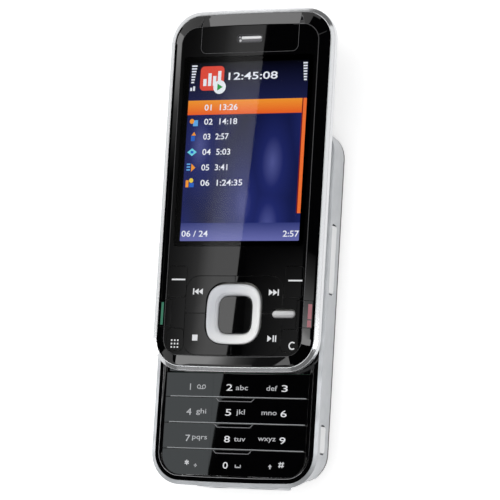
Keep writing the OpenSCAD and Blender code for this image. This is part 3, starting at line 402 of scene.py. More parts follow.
def make_materials():
    """One material for each slot of the record: its kind, its name and what the kind needs."""
    kinds = (
        (gloss, "gloss_black", (0.001, 0.001, 0.0012), 0.006, 0.014),
        (gloss, "key_black", (0.001, 0.001, 0.0012), 0.008, 0.016),
        (gloss, "display", (0.004, 0.004, 0.006), 0.05, 0.1),
        (clear, "window", (0.97, 0.98, 1.0), 1.32),
        (clear, "lens_glass", (0.75, 0.8, 0.88), 1.52),
        (satin_metal, "rim_silver", (0.74, 0.75, 0.765), 0.75, 0.08, 0.12, 0.02),
        (satin_metal, "frame_silver", (0.5, 0.515, 0.535), 0.5, 0.3, 0.42),
        (satin_metal, "key_silver", (0.86, 0.865, 0.87), 0.2, 0.28, 0.36),
        (brushed, "grille_steel", (0.7, 0.7, 0.72), (0.1, 1, 1), 0.2, 0.35),
        (brushed, "slide_steel", (0.55, 0.56, 0.58), (1, 0.05, 1), 0.25, 0.4),
        (brushed, "spring_steel", (0.62, 0.62, 0.64), (0.2, 0.2, 1), 0.2, 0.3),
        (brushed, "screw_steel", (0.3, 0.3, 0.32), (1, 1, 0.1), 0.3, 0.45),
        (brushed, "socket_steel", (0.5, 0.5, 0.52), (1, 0.1, 1), 0.25, 0.4),
        (brushed, "motor_steel", (0.6, 0.6, 0.62), (0.1, 1, 1), 0.2, 0.35),
        (moulded, "back_dark", (0.05, 0.05, 0.055), 0.45, 0.6),
        (moulded, "cover_dark", (0.05, 0.05, 0.055), 0.42, 0.58),
        (moulded, "plate_dark", (0.06, 0.06, 0.065), 0.35, 0.45, 9.0, 0.008),
        (moulded, "mat_rubber", (0.62, 0.62, 0.58), 0.6, 0.75, 2.0, 0.01),
        (moulded, "battery_grey", (0.28, 0.3, 0.33), 0.35, 0.5, 1.0, 0.006),
        (moulded, "module_black", (0.04, 0.04, 0.045), 0.4, 0.55, 5.0, 0.01),
        (moulded, "speaker_grey", (0.16, 0.16, 0.17), 0.5, 0.65),
        (moulded, "tungsten", (0.32, 0.3, 0.28), 0.45, 0.6, 4.0, 0.02),
        (moulded, "polyimide", (0.55, 0.3, 0.08), 0.25, 0.4, 1.5, 0.004),
        (circuit_board, "board_green"),
    )
    return {name: make(name, *rest) for make, name, *rest in kinds}


MATERIALS = make_materials()


def dress_nodes():
    """Every CAD node gets the material of its slot."""
    for name, obj in frame["nodes"].items():
        obj.data.materials.clear()
        obj.data.materials.append(MATERIALS[SLOT_OF[name]])


# -------- rounded copies of CAD nodes
SLANT_FROM, SHARP_FROM = 14, 34     # edges that turn more than these slant, or are sharp
WELD, FLAT_WITHIN = 0.01, 0.2       # vertices this near are welded, and faces that turn less are joined
SEAM = 0.055                        # how far a number key reaches into the gap beside it
CORNER_X, CORNER_Y, CORNER_OUT = 17, -12.2, 0.16    # low corners of the flat front, and how far they move
STRIP_W, STRIP_DROP = 0.8, 0.07     # the border's outermost strip, and how much lower its edge lies
HIDDEN_X, HIDDEN_Y, HIDDEN_Z = 23.5, 49.2, (3.2, 12.0)      # reach of the base frame's inner walls


def clean_mesh(node):
    """A node's mesh with welded vertices and with its flat faces whole."""
    bm = bmesh.new()
    bm.from_mesh(frame["nodes"][node].data)
    bmesh.ops.remove_doubles(bm, verts=bm.verts, dist=WELD * MM)
    bmesh.ops.dissolve_limit(bm, angle_limit=math.radians(FLAT_WITHIN), verts=bm.verts, edges=bm.edges)
    return bm


def rounded_copy(node, radius, segments=3, slant=None, keep=None, skip=None, shape=None):
    """A copy of a node with its sharp edges rounded, and with slant its slanting ones too.

    keep(edge) adds edges that slant less, skip(edge) leaves some out, shape(bm) changes the mesh first."""
    bm = clean_mesh(node)
    if shape:
        shape(bm)

    def round_edges(width, chosen):
        edges = [e for e in bm.edges if len(e.link_faces) == 2 and chosen(e) and not (skip and skip(e))]
        bmesh.ops.bevel(bm, geom=edges, offset=width * MM, offset_type="OFFSET", segments=segments,
                        profile=0.5, affect="EDGES", clamp_overlap=True)

    if slant:
        round_edges(slant, lambda e: SLANT_FROM < turn(e) < SHARP_FROM or (keep and keep(e)))
    if radius:
        round_edges(radius, lambda e: turn(e) > SHARP_FROM)
    bm.normal_update()
    return add_solid(node + "_form", bm, node, MATERIALS[SLOT_OF[node]], True, smooth=32, weight=100)


def turn(edge):
    return math.degrees(edge.calc_face_angle())


def sloping(face):
    return 0.8 < face.normal.z < 0.99


def close_seams(bm):
    """Moves the inner sides of a number key towards its neighbours in the row."""
    xs = [v.co.x / MM for v in bm.verts]
    low, high = min(xs), max(xs)
    for v, x in zip(bm.verts, xs):
        if x < low + 0.1 and low > PAD_LOW.x + 1:
            v.co.x -= SEAM * MM
        if x > high - 0.1 and high < PAD_HIGH.x - 1:
            v.co.x += SEAM * MM


def on_crest(edge):
    """The two edges of the crest round the keypad."""
    return all(v.co.z > (DECK_Z - 0.02) * MM for v in edge.verts) and turn(edge) > 4


def turn_down(bm):
    """Makes the outermost strip of the sloping border a little steeper, as moulded covers are."""
    # The flat's low corners move outwards, clear of the openings of two keys
    for v in bm.verts:
        x, y, z = v.co / MM
        past_x, past_y = abs(x) - CORNER_X, CORNER_Y - y
        if z > FRONT_Z - 0.01 and past_x > 0 and past_y > 0 and any(sloping(f) for f in v.link_faces):
            out = Vector((math.copysign(1, x), -1, 0)).normalized()
            v.co += out * CORNER_OUT * MM * min(1, past_x / 1.5, past_y / 0.8)
    level = FRONT_RIM_Z + STRIP_W * BORDER_SLOPE
    border = [f for f in bm.faces if sloping(f)]
    parts = border + [e for f in border for e in f.edges] + [v for f in border for v in f.verts]
    bmesh.ops.bisect_plane(bm, geom=list(dict.fromkeys(parts)), plane_co=(0, 0, level * MM),
                           plane_no=(0, 0, 1))
    for v in bm.verts:
        if abs(v.co.z / MM - FRONT_RIM_Z) < 0.01 and any(f.normal.z > 0.8 for f in v.link_faces):
            v.co.z -= STRIP_DROP * MM


def inner_side(edge):
    """The upright edges between two number keys of a row."""
    a, b = (v.co.x / MM for v in edge.verts)
    return abs(a - b) < 0.05 and abs(a) < 20


def inside(edge):
    """Edges on the base frame's inner walls, which nobody sees."""
    return any(HIDDEN_Z[0] < v.co.z / MM < HIDDEN_Z[1] and abs(v.co.x / MM) < HIDDEN_X
               and abs(v.co.y / MM) < HIDDEN_Y for v in edge.verts)


def make_rounded_pieces():
    rounded_copy("front_cover", None, slant=0.12, shape=turn_down)
    for key in ("call_key", "end_key"):
        rounded_copy(key, 0.03, slant=0.1)
    rounded_copy("earpiece_plate", 0.2, slant=0.13)
    rounded_copy("upper_rim", 0.18, slant=0.12)
    rounded_copy("base_frame", 0.12, slant=0.12, skip=inside)
    rounded_copy("keypad_bezel", 0.05, slant=0.055, keep=on_crest)
    for key in ("volume_key", "camera_key"):
        rounded_copy(key, 0.3, 4)
    for key in FLUSH_KEYS:
        rounded_copy(key, 0.05, 2)
    for key in NUMBER_KEYS:
        rounded_copy(key, 0.045, 2, skip=inner_side, shape=close_seams)


# -------- painted highlights along edges
LINE_UP, LINE_DOWN = 0.012, 0.02    # how far a line stands above its face and reaches below it


def edge_lines(name, node, pick, width, material):
    """Painted highlights: thin grey strips along a node's edges. pick(edge, face, other) says on which face
    of which edge.
    """
    bm, lines = clean_mesh(node), bmesh.new()
    for face in bm.faces:
        for loop in face.loops:
            others = [f for f in loop.edge.link_faces if f != face]
            if len(others) != 1 or not pick(loop.edge, face, others[0]):
                continue
            a, b = loop.vert.co, loop.link_loop_next.vert.co
            inward = face.normal.cross(b - a).normalized() * width * MM
            corners = (a, b, b + inward, a + inward)
            low, high = ([lines.verts.new(p + face.normal * level * MM) for p in corners]
                         for level in (-LINE_DOWN, LINE_UP))
            lines.faces.new(low[::-1])
            lines.faces.new(high)
            add_wall(lines, low, high)
    bm.free()
    bmesh.ops.recalc_face_normals(lines, faces=lines.faces)
    add_solid(name, lines, node, material)


def make_edge_lines():
    """Painted highlights where light runs along the front's crest, round the earpiece plate and round the
    keypad.
    """
    plate_low_z, plate_end_y = 16.4, 81.2

    def lowest(edge):
        return min(v.co.z for v in edge.verts) / MM

    def middle(edge):
        return (edge.verts[0].co + edge.verts[1].co) / 2 / MM

    def crest(edge, face, other):
        return sloping(face) and other.normal.z > 0.999 and lowest(edge) > FRONT_Z - 0.01

    def plate_edge(edge, face, other):
        return (face.normal.z > 0.8 and other.normal.z < 0.3 and lowest(edge) > plate_low_z
                and middle(edge).y < plate_end_y)

    def pad_crest(edge, face, other):
        return (face.normal.z > 0.999 and sloping(other) and other.normal.dot(middle(edge)) > 0
                and middle(edge).z > DECK_Z - 0.01)

    # Both materials are painted highlights: grey strips that stand in for edges catching the light
    line = satin_metal("painted_highlight_line", (0.09, 0.09, 0.095), 0.2, 0.3, 0.4)
    edge_lines("front_crest_line", "front_cover", crest, 0.1, line)
    for key in ("call_key", "end_key"):
        edge_lines(key + "_crest_line", key, crest, 0.1, line)
    edge_lines("earpiece_plate_line", "earpiece_plate", plate_edge, 0.1, line)
    edge_lines("keypad_crest_line", "keypad_bezel", pad_crest, 0.14,
               satin_metal("painted_highlight_crest", (0.27, 0.27, 0.28), 0.3, 0.3, 0.4))


# -------- lofted pieces
def squircle(half_x, half_y, power, z, x0=0.0, y0=0.0, count=72):
    """Points of a rounded square with bowed sides."""
    points = []
    for i in range(count):
        c, s = polar(0, 0, 1, 360 * i / count)
        points.append((x0 + half_x * math.copysign(abs(c) ** (2 / power), c),
                       y0 + half_y * math.copysign(abs(s) ** (2 / power), s), z))
    return points


def stadium(low, high, inset, z, radius, steps=9):
    """Points of the rounded rectangle from low to high, drawn in by inset."""
    r = max(radius - inset, 0.02)
    x0, y0, x1, y1 = low[0] + inset + r, low[1] + inset + r, high[0] - inset - r, high[1] - inset - r
    corners = ((x1, y1, 0), (x0, y1, 90), (x0, y0, 180), (x1, y0, 270))
    return [(*polar(x, y, r, start + 90 * i / (steps - 1)), z)
            for x, y, start in corners for i in range(steps)]


def loft(name, loops, node, material, stands_in=True, ring=False):
    """A solid through loops of points: capped at both ends, or closed on itself as a ring."""
    bm = bmesh.new()
    rows = [[bm.verts.new((x * MM, y * MM, z * MM)) for x, y, z in loop] for loop in loops]
    for low, high in zip(rows, rows[1:] + (rows[:1] if ring else [])):
        add_wall(bm, low, high)
    if not ring:
        bm.faces.new(rows[0][::-1])
        bm.faces.new(rows[-1])
    bmesh.ops.recalc_face_normals(bm, faces=bm.faces)
    add_solid(name, bm, node, material, stands_in, smooth=40)


def make_navigation_ring():
    """A rounded crown that falls to a groove and a thin lip. Its section has shares of the way from the
    outer to the inner wall, with how far each lies below the crown."""
    y0, half_y = HALF_Y + RING_Y - 0.15, (RING_HIGH.y - RING_LOW.y) / 2 - 0.15
    crown = ((0.0, 0.5), (0.02, 0.3), (0.055, 0.15), (0.1, 0.06), (0.16, 0.01), (0.22, 0.0), (0.28, 0.02),
             (0.5, 0.13), (0.72, 0.27), (0.77, 0.3), (0.785, 0.42), (0.81, 0.42), (0.825, 0.35), (0.86, 0.38),
             (0.93, 0.7), (1.0, 1.0))
    section = [(0.0, RING_LOW.z)] + [(f, RING_HIGH.z - fall) for f, fall in crown] + [(1.0, RING_LOW.z)]
    loft("navigation_ring_form",
         [squircle(8.3 - 3.1 * f, half_y - 3.05 * f, 3.5 + 0.8 * f, z, 0.34 * f - 0.15, y0 - 0.15 * f)
          for f, z in section],
         "navigation_ring",
         # Painted shade: darker towards the ring's left and top, lighter towards its right and bottom
         silver_with_painted_shade("ring_silver_painted_shade", (0.6, 0.615, 0.65), (0.93, 0.935, 0.93), (1, -0.7, 0), -4, 9),
         ring=True)


def make_select_key():
    """A flat glossy key that lies below the ring's crown."""
    low, high = box_mm("select_key")
    top = high.z - 0.75
    loft("select_key_form",
         [squircle(5.02 - d, 5.2 - d, 4.3, z, 0.19, HALF_Y + RING_Y - 0.3)
          for d, z in ((0, low.z), (0, top - 0.1), (0.03, top - 0.03), (0.1, top))],
         "select_key", gloss("select_black", (0.002, 0.002, 0.0022), 0.006, 0.014, 0.8))


def make_multimedia_key():
    """A long key with a round back."""
    low, high = box_mm("multimedia_key")
    round_w, round_h = 1.02, 0.8
    crown = []
    for angle in range(0, 91, 10):
        across, up = polar(0, 0, 1, angle)
        crown.append((round_w * (1 - across), high.z - round_h * (1 - up)))
    loft("multimedia_key_form",
         [stadium((low.x, low.y), (high.x, high.y - 0.22), d, z, 1.09) for d, z in [(0, low.z)] + crown],
         "multimedia_key",
         # Painted shade: lighter along the key's upper edge, darker towards its low edge
         silver_with_painted_shade("pill_silver_painted_shade", (0.4, 0.4, 0.41), (0.85, 0.86, 0.86), (-0.06, 1, 0), -5.2, -3.2))


def make_grille():
    """A perforated trough, a bright ridge along its upper half and two studs at the left."""
    node, bright = "earpiece_grille", MATERIALS["key_silver"]
    low, high = box_mm(node)
    top, floor_z = high.z, high.z - 0.3
    loft(node + "_form", [stadium((low.x, low.y), (high.x, high.y), d, z, 0.7) for d, z in (
        (0, low.z), (0, top - 0.06), (0.05, top), (0.12, top - 0.03), (0.24, floor_z), (0.3, floor_z))],
        node, grille_mesh("grille_mesh"))
    ridge = (-2.75, high.y - 1.08), (high.x - 0.22, high.y - 0.2)
    loft("earpiece_ridge", [stadium(*ridge, d, z, 0.4) for d, z in (
        (0, floor_z - 0.1), (0, top - 0.2), (0.06, top - 0.08), (0.15, top - 0.02), (0.3, top))],
        node, bright, False)
    for i, (x, y, size) in enumerate(((-3.28, high.y - 0.42, 0.22), (-3.1, high.y - 1.42, 0.36))):
        loft("earpiece_stud_%d" % (i + 1),
             [stadium((x - size, y - size), (x + size, y + size), share * size, floor_z + up, size)
              for share, up in ((0, -0.1), (0, 0.05), (0.3, 0.14), (0.7, 0.18))], node, bright, False)


# -------- flat shapes, for marks and the display
def prism(name, faces, low, high, node, material, rise=None):
    """A thin solid on each outline of faces. rise(x) adds the height of a sloping surface."""
    bm = bmesh.new()
    for outline in faces:
        lifted = [(x, y, rise(x) if rise else 0) for x, y in outline]
        bottom, top = ([bm.verts.new((x * MM, y * MM, (z + h) * MM)) for x, y, h in lifted]
                       for z in (low, high))
        bm.faces.new(top)
        bm.faces.new(bottom[::-1])
        add_wall(bm, bottom, top)
    bmesh.ops.recalc_face_normals(bm, faces=bm.faces)
    add_solid(name, bm, node, material)


def moved(faces, dx, dy):
    return [[(x + dx, y + dy) for x, y in outline] for outline in faces]


def rect(x0, y0, x1, y1):
    return [(x0, y0), (x1, y0), (x1, y1), (x0, y1)]


def bar(x, y, w, h):
    return rect(x - w / 2, y - h / 2, x + w / 2, y + h / 2)


def disc(x, y, r, steps=20):
    return [polar(x, y, r, 360 * i / steps) for i in range(steps)]


def triangle(x, y, w, h, way):
    return [(x + way * w / 2, y), (x - way * w / 2, y + h / 2), (x - way * w / 2, y - h / 2)][::way]


def rounded_tile(x0, y0, x1, y1, r, steps=8):
    corners = ((x1 - r, y0 + r, 270), (x1 - r, y1 - r, 0), (x0 + r, y1 - r, 90), (x0 + r, y0 + r, 180))
    return [polar(x, y, r, start + 90 * i / steps) for x, y, start in corners for i in range(steps + 1)]


def arc_band(x, y, r, width, start, end, steps=16):
    """Quads along an arc, from angle start to end."""
    angles = [start + (end - start) * i / steps for i in range(steps + 1)]
    inner, outer = r - width / 2, r + width / 2
    return [[polar(x, y, inner, a), polar(x, y, outer, a), polar(x, y, outer, b), polar(x, y, inner, b)]
            for a, b in zip(angles, angles[1:])]


def line_band(points, width):
    """Quads along a polyline, mitred at its corners."""
    points = [Vector(p) for p in points]
    ways = [(b - a).normalized() for a, b in zip(points, points[1:])]
    sides = []
    for point, before, after in zip(points, ways[:1] + ways, ways + ways[-1:]):
        run = (before + after).normalized()
        across = Vector((-run.y, run.x))
        mitre = across * width / 2 / max(0.3, across.dot(Vector((-after.y, after.x))))
        sides.append((point + mitre, point - mitre))
    return [[tuple(a[0]), tuple(b[0]), tuple(b[1]), tuple(a[1])] for a, b in zip(sides, sides[1:])]


def words(name, text, x, y, height, node, material, z, width=None, weight=0.0, anchor=0.5):
    """Figures or letters from Blender's own font, with their anchor (0 left, 1 right) at x."""
    data = bpy.data.curves.new(name, "FONT")
    data.body, data.align_x, data.align_y = text, "CENTER", "CENTER"
    data.size, data.offset, data.resolution_u = 1.0, weight, 3
    scale = height / 0.73      # capitals and figures are 0.73 of the size
    data.extrude = MARK_T / 2 / scale
    text_object = add_object(name, data)
    bpy.context.view_layer.update()
    mesh = bpy.data.meshes.new_from_object(text_object.evaluated_get(bpy.context.evaluated_depsgraph_get()))
    bpy.data.objects.remove(text_object)
    xs, ys = ([v.co[axis] for v in mesh.vertices] for axis in (0, 1))
    drawn_w = max(xs) - min(xs)
    stretch = width / drawn_w if width else scale
    mesh.transform(Matrix.Translation((x * MM, y * MM, (z + MARK_T / 2 - INK_SINK) * MM))
                   @ Matrix.Diagonal((stretch * MM, scale * MM, scale * MM, 1))
                   @ Matrix.Translation((-min(xs) - anchor * drawn_w, -(min(ys) + max(ys)) / 2, 0)))
    mesh.name = name
    add_piece(name, mesh, node, material)


# -------- marks on the keys
ARROW_W, ARROW_H, STROKE = 1.3, 1.75, 0.38      # of the music marks
FIGURE_H, LETTER_H, LETTER_WEIGHT = 1.9, 1.45, 0.004


def mark(name, faces, key, material, z=CAP_Z, rise=None):
    prism(name, faces, z - INK_SINK, z - INK_SINK + MARK_T, key, material, rise)


def front_mark(name, faces, key, material, rise=None):
    """A mark on a front key. Its outlines are counted from the middle of the navigation ring."""
    mark(name, moved(faces, 0, HALF_Y + RING_Y), key, material, FRONT_Z, rise)


def border_rise(x):
    """Height of the front at x, against its flat part."""
    return -max(0.0, abs(x) - FLAT_X) * BORDER_SLOPE


def make_front_marks(white, green, red):
    front_mark("left_soft_mark", [bar(-17.6, 9.4, 4.2, 0.42)], "left_soft_key", white)
    front_mark("right_soft_mark", [bar(18.3, 9.2, 4.2, 0.42)], "right_soft_key", white)
    for name, x, y, way in (("previous", -11.3, 6.05, -1), ("next", 12.0, 5.9, 1)):
        front_mark(name + "_mark", [triangle(x - way * 0.85, y, ARROW_W, ARROW_H, way),
                                    triangle(x + way * 0.45, y, ARROW_W, ARROW_H, way),
                                    bar(x + way * 1.35, y, STROKE, ARROW_H)], name + "_key", white)
    low_y = -6.85
    front_mark("stop_mark", [bar(-11.4, low_y, 1.65, 1.65)], "stop_key", white)
    front_mark("play_mark", [triangle(11.5, low_y, ARROW_W, ARROW_H, 1), bar(12.65, low_y, STROKE, ARROW_H),
                             bar(13.35, low_y, STROKE, ARROW_H)], "play_key", white)
    # A generic grid of dots for the menu, and a plain C for clear
    dots = [bar(-17.6 + 0.95 * i, -8.6 + 0.95 * j, 0.45, 0.45) for i in (-1, 0, 1) for j in (-1, 0, 1)]
    front_mark("menu_mark", dots, "menu_key", white)
    front_mark("clear_mark", arc_band(18.5, -8.75, 0.95, 0.36, 50, 310), "clear_key", white)
    front_mark("call_mark", [bar(-22.4, -0.1, 0.95, 6.3)], "call_key", green, border_rise)
    front_mark("end_mark", [bar(22.85, 0.75, 0.95, 4.15), bar(22.8, -2.6, 0.95, 1.9)], "end_key", red,
               border_rise)


def make_number_marks(white, pale):
    """Figure and letters of each number key, with the middle and the width of both."""
    rows = (
        (-23.55, (("1", -14.4, None, None, 0, 0), ("2", -2.3, 1.9, "abc", 1.55, 3.7),
                  ("3", 14.6, 1.85, "def", 10.7, 3.3))),
        (-30.5, (("4", -14.4, 1.55, "ghi", -10.6, 3.1), ("5", -2.2, 1.8, "jkl", 1.55, 2.65),
                 ("6", 14.7, 1.85, "mno", 10.3, 4.6))),
        (-37.9, (("7", -14.25, 1.5, "pqrs", -10.6, 4.6), ("8", -2.1, 1.8, "tuv", 1.75, 3.5),
                 ("9", 14.8, 1.85, "wxyz", 10.05, 5.4))),
        (-45.15, (("0", -2.15, 1.55, None, 0, 0),)),
    )
    for y, keys in rows:
        for figure, figure_x, figure_w, letters, letters_x, letters_w in keys:
            key = "key_" + figure
            words(key + "_figure", figure, figure_x, y, FIGURE_H, key, pale if figure in "147" else white,
                  CAP_Z, figure_w, LETTER_WEIGHT)
            if letters:
                words(key + "_letters", letters, letters_x, y, LETTER_H, key, pale, CAP_Z,
                      letters_w, LETTER_WEIGHT)


def make_sign_marks(white, pale):
    """The signs in the corners of the keypad and beside the 1 and the 0."""
    loops = [band for x in (-11.75, -10.2) for band in arc_band(x, -23.5, 0.5, 0.22, 0, 360, 12)]
    mark("message_mark", loops + [bar(-11.0, -24.05, 1.6, 0.2)], "key_1", pale)
    star = (-14.1, -44.65, 0.7)
    mark("star_mark", [line_band([polar(*star, a), polar(*star, a + 180)], 0.28)[0] for a in (90, 30, 150)],
         "key_star", white)
    mark("plus_mark", [bar(-11.4, -45.4, 0.9, 0.28), bar(-11.4, -45.4, 0.28, 0.9)], "key_star", pale,
         CAP_Z + 0.002)
    mark("space_mark", [bar(1.7, -45.6, 1.8, 0.28)] + [bar(x, -45.25, 0.28, 0.7) for x in (0.93, 2.47)],
         "key_0", pale)
    mark("shift_mark", [[(10.9, -45.2), (12.1, -45.2), (11.5, -44.5)], bar(11.5, -45.5, 0.4, 0.6)],
         "key_hash", pale)
    leaning = [line_band([(x - 0.15, -45.35), (x + 0.15, -43.75)], 0.26)[0] for x in (14.45, 15.25)]
    mark("hash_mark", leaning + [bar(14.85, y, 1.7, 0.24) for y in (-44.9, -44.2)], "key_hash", white)


# -------- painted highlights on the keys
BAR_LEFT, BAR_RIGHT, BAR_SLANT = -6.1, 5.5, 0.8     # the painted highlight along the raised bars' edge


def make_painted_highlights(metal, faint):
    """Painted highlights: grey strips on the lower edges of the first three rows, and round each raised bar.
    """
    for key in NUMBER_KEYS[:9]:
        low, high = box_mm(key)
        left = low.x + (1.5 if low.x < PAD_LOW.x + 1 else -SEAM)
        right = high.x - (0.6 if high.x > PAD_HIGH.x - 1 else -SEAM)
        line = rect(left, low.y + 0.01, right, low.y + 0.25)
        # painted highlight along the key's lower edge
        prism(key + "_trim", [line], CAP_Z - 0.02, CAP_Z + 0.012, key, metal)
    for key in ("key_5", "key_8", "key_0"):
        high = box_mm(key)[1]
        top, foot = high.y - 0.12, high.y - 0.92
        edge = line_band([(BAR_LEFT, top), (BAR_LEFT + BAR_SLANT, foot), (BAR_RIGHT - BAR_SLANT, foot),
                          (BAR_RIGHT, top)], 0.16)
        # painted highlight round the raised bar
        prism(key + "_bar_trim", edge, high.z - 0.02, high.z + 0.01, key, faint)


# -------- the lit picture of the display
LAYER = 0.012                                   # step between the display's layers
CLOCK_H, ROW_H = 2.15, 1.75                     # heights of the figures
HALF_PICTURE = SCREEN_W / 2 + 0.1               # its sheets reach a little under the cover
TOP_ROW = (21.1, 25.2)                          # low and high edge of the selected row
ROW_YS = (19.1, 14.85, 10.5, 6.1, 1.75)         # middles of the rows below the selected one
STRIP_TOP, SCROLL_LOW = -9.6, -7.0
LIST_RIGHT, TRACK_RIGHT, SCROLL_RIGHT = 16.9, 17.25, 18.35


def layer(name, faces, level, material):
    """A piece of the picture, one step above the piece of the level below."""
    z = SCREEN_Z + level * LAYER
    prism("display_" + name, moved(faces, 0, HALF_Y), z - LAYER, z, "display_module", material)


def make_picture():
    row_low, row_high = TOP_ROW
    top, low = SCREEN_HIGH + 0.1, SCREEN_LOW - 0.1
    layer("wallpaper_sheet", [rect(-HALF_PICTURE, low, HALF_PICTURE, top)], 1, wallpaper("display_wallpaper"))
    layer("header", [rect(-HALF_PICTURE, row_high, HALF_PICTURE, top)], 2,
          fading_glow("display_header_blue", srgb(26, 30, 68), srgb(4, 5, 12), row_high, SCREEN_HIGH))
    layer("selected_row", [rect(-HALF_PICTURE, row_low, LIST_RIGHT, row_high)], 3,
          fading_glow("display_orange", srgb(232, 92, 38), srgb(240, 148, 48), row_low, row_high))
    layer("scroll_track", [rect(LIST_RIGHT, SCROLL_LOW, TRACK_RIGHT, row_high)], 3,
          glow("display_track", srgb(120, 30, 30)))
    layer("scroll_bar", [rect(TRACK_RIGHT, SCROLL_LOW, SCROLL_RIGHT, row_high)], 3,
          glow("display_scroll", srgb(240, 112, 52)))
    layer("key_strip", [rect(-HALF_PICTURE, low, HALF_PICTURE, STRIP_TOP)], 2,
          fading_glow("display_strip", srgb(104, 108, 172), srgb(52, 60, 120), SCREEN_LOW, STRIP_TOP))
    # Bars for the signal at the left and the charge at the right, and a small mark below the left ones
    bars = [rect(-18.1, 28.0, -17.5, 28.9), rect(-17.2, 28.0, -16.6, 29.3)]
    for i in range(7):
        y = 30.2 + 0.78 * i
        bars += [rect(-17.9, y, -17.0 + 0.13 * i, y + 0.42), rect(17.0 - 0.07 * i, y, 17.9, y + 0.42)]
    layer("bars", bars, 4, glow("display_white", srgb(226, 230, 238)))


def make_icons():
    """Small generic icons: a heading of bars with a play disc, and one for each row."""
    inks = {name: glow("display_" + name, srgb(*colour)) for name, *colour in (
        ("red", 222, 74, 58), ("white_ink", 232, 236, 240), ("green", 44, 152, 70), ("sky", 96, 168, 226),
        ("blue", 40, 96, 190), ("amber", 240, 150, 52), ("yellow", 236, 206, 70), ("cyan", 110, 210, 226))}
    # Heading: a red tile with four white bars of different heights, and a white disc with a green arrow
    layer("heading_tile", [rounded_tile(-15.1, 28.0, -7.7, 34.9, 1.2)], 4, inks["red"])
    layer("heading_bars", [rect(-14.1 + 1.5 * i, 29.3, -13.1 + 1.5 * i, 29.3 + h)
                           for i, h in enumerate((2.0, 3.6, 2.8, 4.2))], 5, inks["white_ink"])
    layer("heading_disc", [disc(-8.9, 28.9, 1.95)], 6, inks["white_ink"])
    layer("heading_arrow", [triangle(-8.75, 28.9, 1.7, 2.0, 1)], 7, inks["green"])
    # Rows: the parts of each icon, counted from its own middle
    motifs = (
        (("sky", [rect(-0.2, -1.2, 1.3, 0.5)]), ("amber", [disc(-0.6, 0.2, 0.7)])),
        (("blue", [rect(-0.6, -1.2, 0.6, 0.3)]), ("amber", [[(-0.5, 0.4), (0.9, 0.4), (0.3, 1.4)]])),
        (("cyan", [[(-1.5, 0), (0, -1.1), (1.5, 0), (0, 1.1)]]), ("blue", [bar(0, 0, 0.9, 0.7)])),
        (("sky", [rect(-1.4, y, -0.3, y + 0.4) for y in (-0.8, 0, 0.8)]),
         ("amber", [triangle(0.7, 0, 1.3, 2.3, 1)])),
        (("amber", [rect(-1.4, -1.2, -0.5, 0.8)]), ("blue", [rect(-0.3, -1.2, 1.2, 0)]),
         ("yellow", [disc(0.3, 0.7, 0.65)])),
    )
    for row, (y, motif) in enumerate(zip(ROW_YS, motifs)):
        for part, (ink_name, faces) in enumerate(motif):
            layer("row_%d_icon_%d" % (row + 2, part + 1), moved(faces, -16.3, y), 4 + part, inks[ink_name])


def make_screen_figures(white):
    """The display's figures: (name, text, left end, middle, width), with the clock's a little taller."""
    lines = [("clock", "12:45:08", -6.3, 31.9, 15.2), ("row_1", "01  13:26", -13.2, 23.15, 10.3)]
    rows = (("14:18", 10.3), ("2:57", 7.9), ("5:03", 8.7), ("3:41", 8.1), ("1:24:35", 13.0))
    for row, (y, (text, width)) in enumerate(zip(ROW_YS, rows), 2):
        lines.append(("row_%d" % row, "0%d  %s" % (row, text), -13.05, y, width))
    lines += [("strip_left", "06 / 24", -18.0, -12.6, 8.2), ("strip_right", "2:57", 13.3, -12.7, 4.9)]
    for name, text, x, y, width in lines:
        words("display_" + name, text, x, y + HALF_Y, CLOCK_H if name == "clock" else ROW_H, "display_module",
              white, SCREEN_Z + 5 * LAYER, width, 0.01, anchor=0)


# -------- camera and floor
CAMERA_AT, CAMERA_AIM = Vector((358.83, -87.88, 747.19)), Vector((0.18, 15.26, 10.0))
CAMERA_ROLL = 3.418             # from the position in which the phone's long axis stands upright
LENS, SENSOR_W = 213.13, 36.0
GREY_LEVEL = 0.55               # of the world as a light, and of the floor's own light where it is seen


def make_camera():
    """A long lens that looks down on the phone from its lower right."""
    data = bpy.data.cameras.new("camera")
    data.lens, data.sensor_width, data.sensor_fit = LENS, SENSOR_W, "HORIZONTAL"
    data.clip_start, data.clip_end = 0.01, 20
    camera = add_object("camera", data)
    back = (CAMERA_AT - CAMERA_AIM).normalized()
    right = Vector((0, 1, 0)).cross(back).normalized()
    upright = Matrix((right, back.cross(right), back)).transposed()
    turned = upright @ Matrix.Rotation(math.radians(CAMERA_ROLL), 3, "Z")
    camera.matrix_world = Matrix.Translation(CAMERA_AT * MM) @ turned.to_4x4()
    bpy.context.scene.camera = camera


def make_floor():
    """White where it is seen plainly, and a pale ground that keeps the phone's shadow."""
    bpy.ops.mesh.primitive_plane_add(size=12, location=(0, 0, -0.3 * MM))
    floor = bpy.context.object
    floor.name = "floor"
    s = Shader("floor_white", (0.9, 0.9, 0.9), 1.0, Specular_IOR_Level=0.0, Emission_Color=(1, 1, 1, 1))
    s.link(s.spread(s.seen_plainly(), 0.0, GREY_LEVEL, 0.0, 1.0), s.bsdf.inputs["Emission Strength"])
    floor.data.materials.append(s.material)


def make_world():
    """White where the camera, a gloss or a clear piece sees it, and a plain grey level as a light."""
    world = bpy.data.worlds.new("world")
    bpy.context.scene.world = world
    nodes = Tree(world)
    background = nodes.tree.nodes["Background"]
    background.inputs["Color"].default_value = (1, 1, 1, 1)
    nodes.link(nodes.spread(nodes.seen_plainly(), GREY_LEVEL, 1.0, 0.0, 1.0), background.inputs["Strength"])


# -------- lights
SKY_Z = 518             # height of the cards over the phone


class Light(Tree):
    """A material that only gives light."""

    def __init__(self, name, strength, colour=(1, 1, 1)):
        self.material = bpy.data.materials.new(name)
        super().__init__(self.material)
        self.tree.nodes.clear()
        self.emission = self.node("ShaderNodeEmission")
        self.emission.inputs["Color"].default_value = (*colour, 1)
        self.emission.inputs["Strength"].default_value = strength
        self.link(self.emission.outputs[0], self.node("ShaderNodeOutputMaterial").inputs["Surface"])


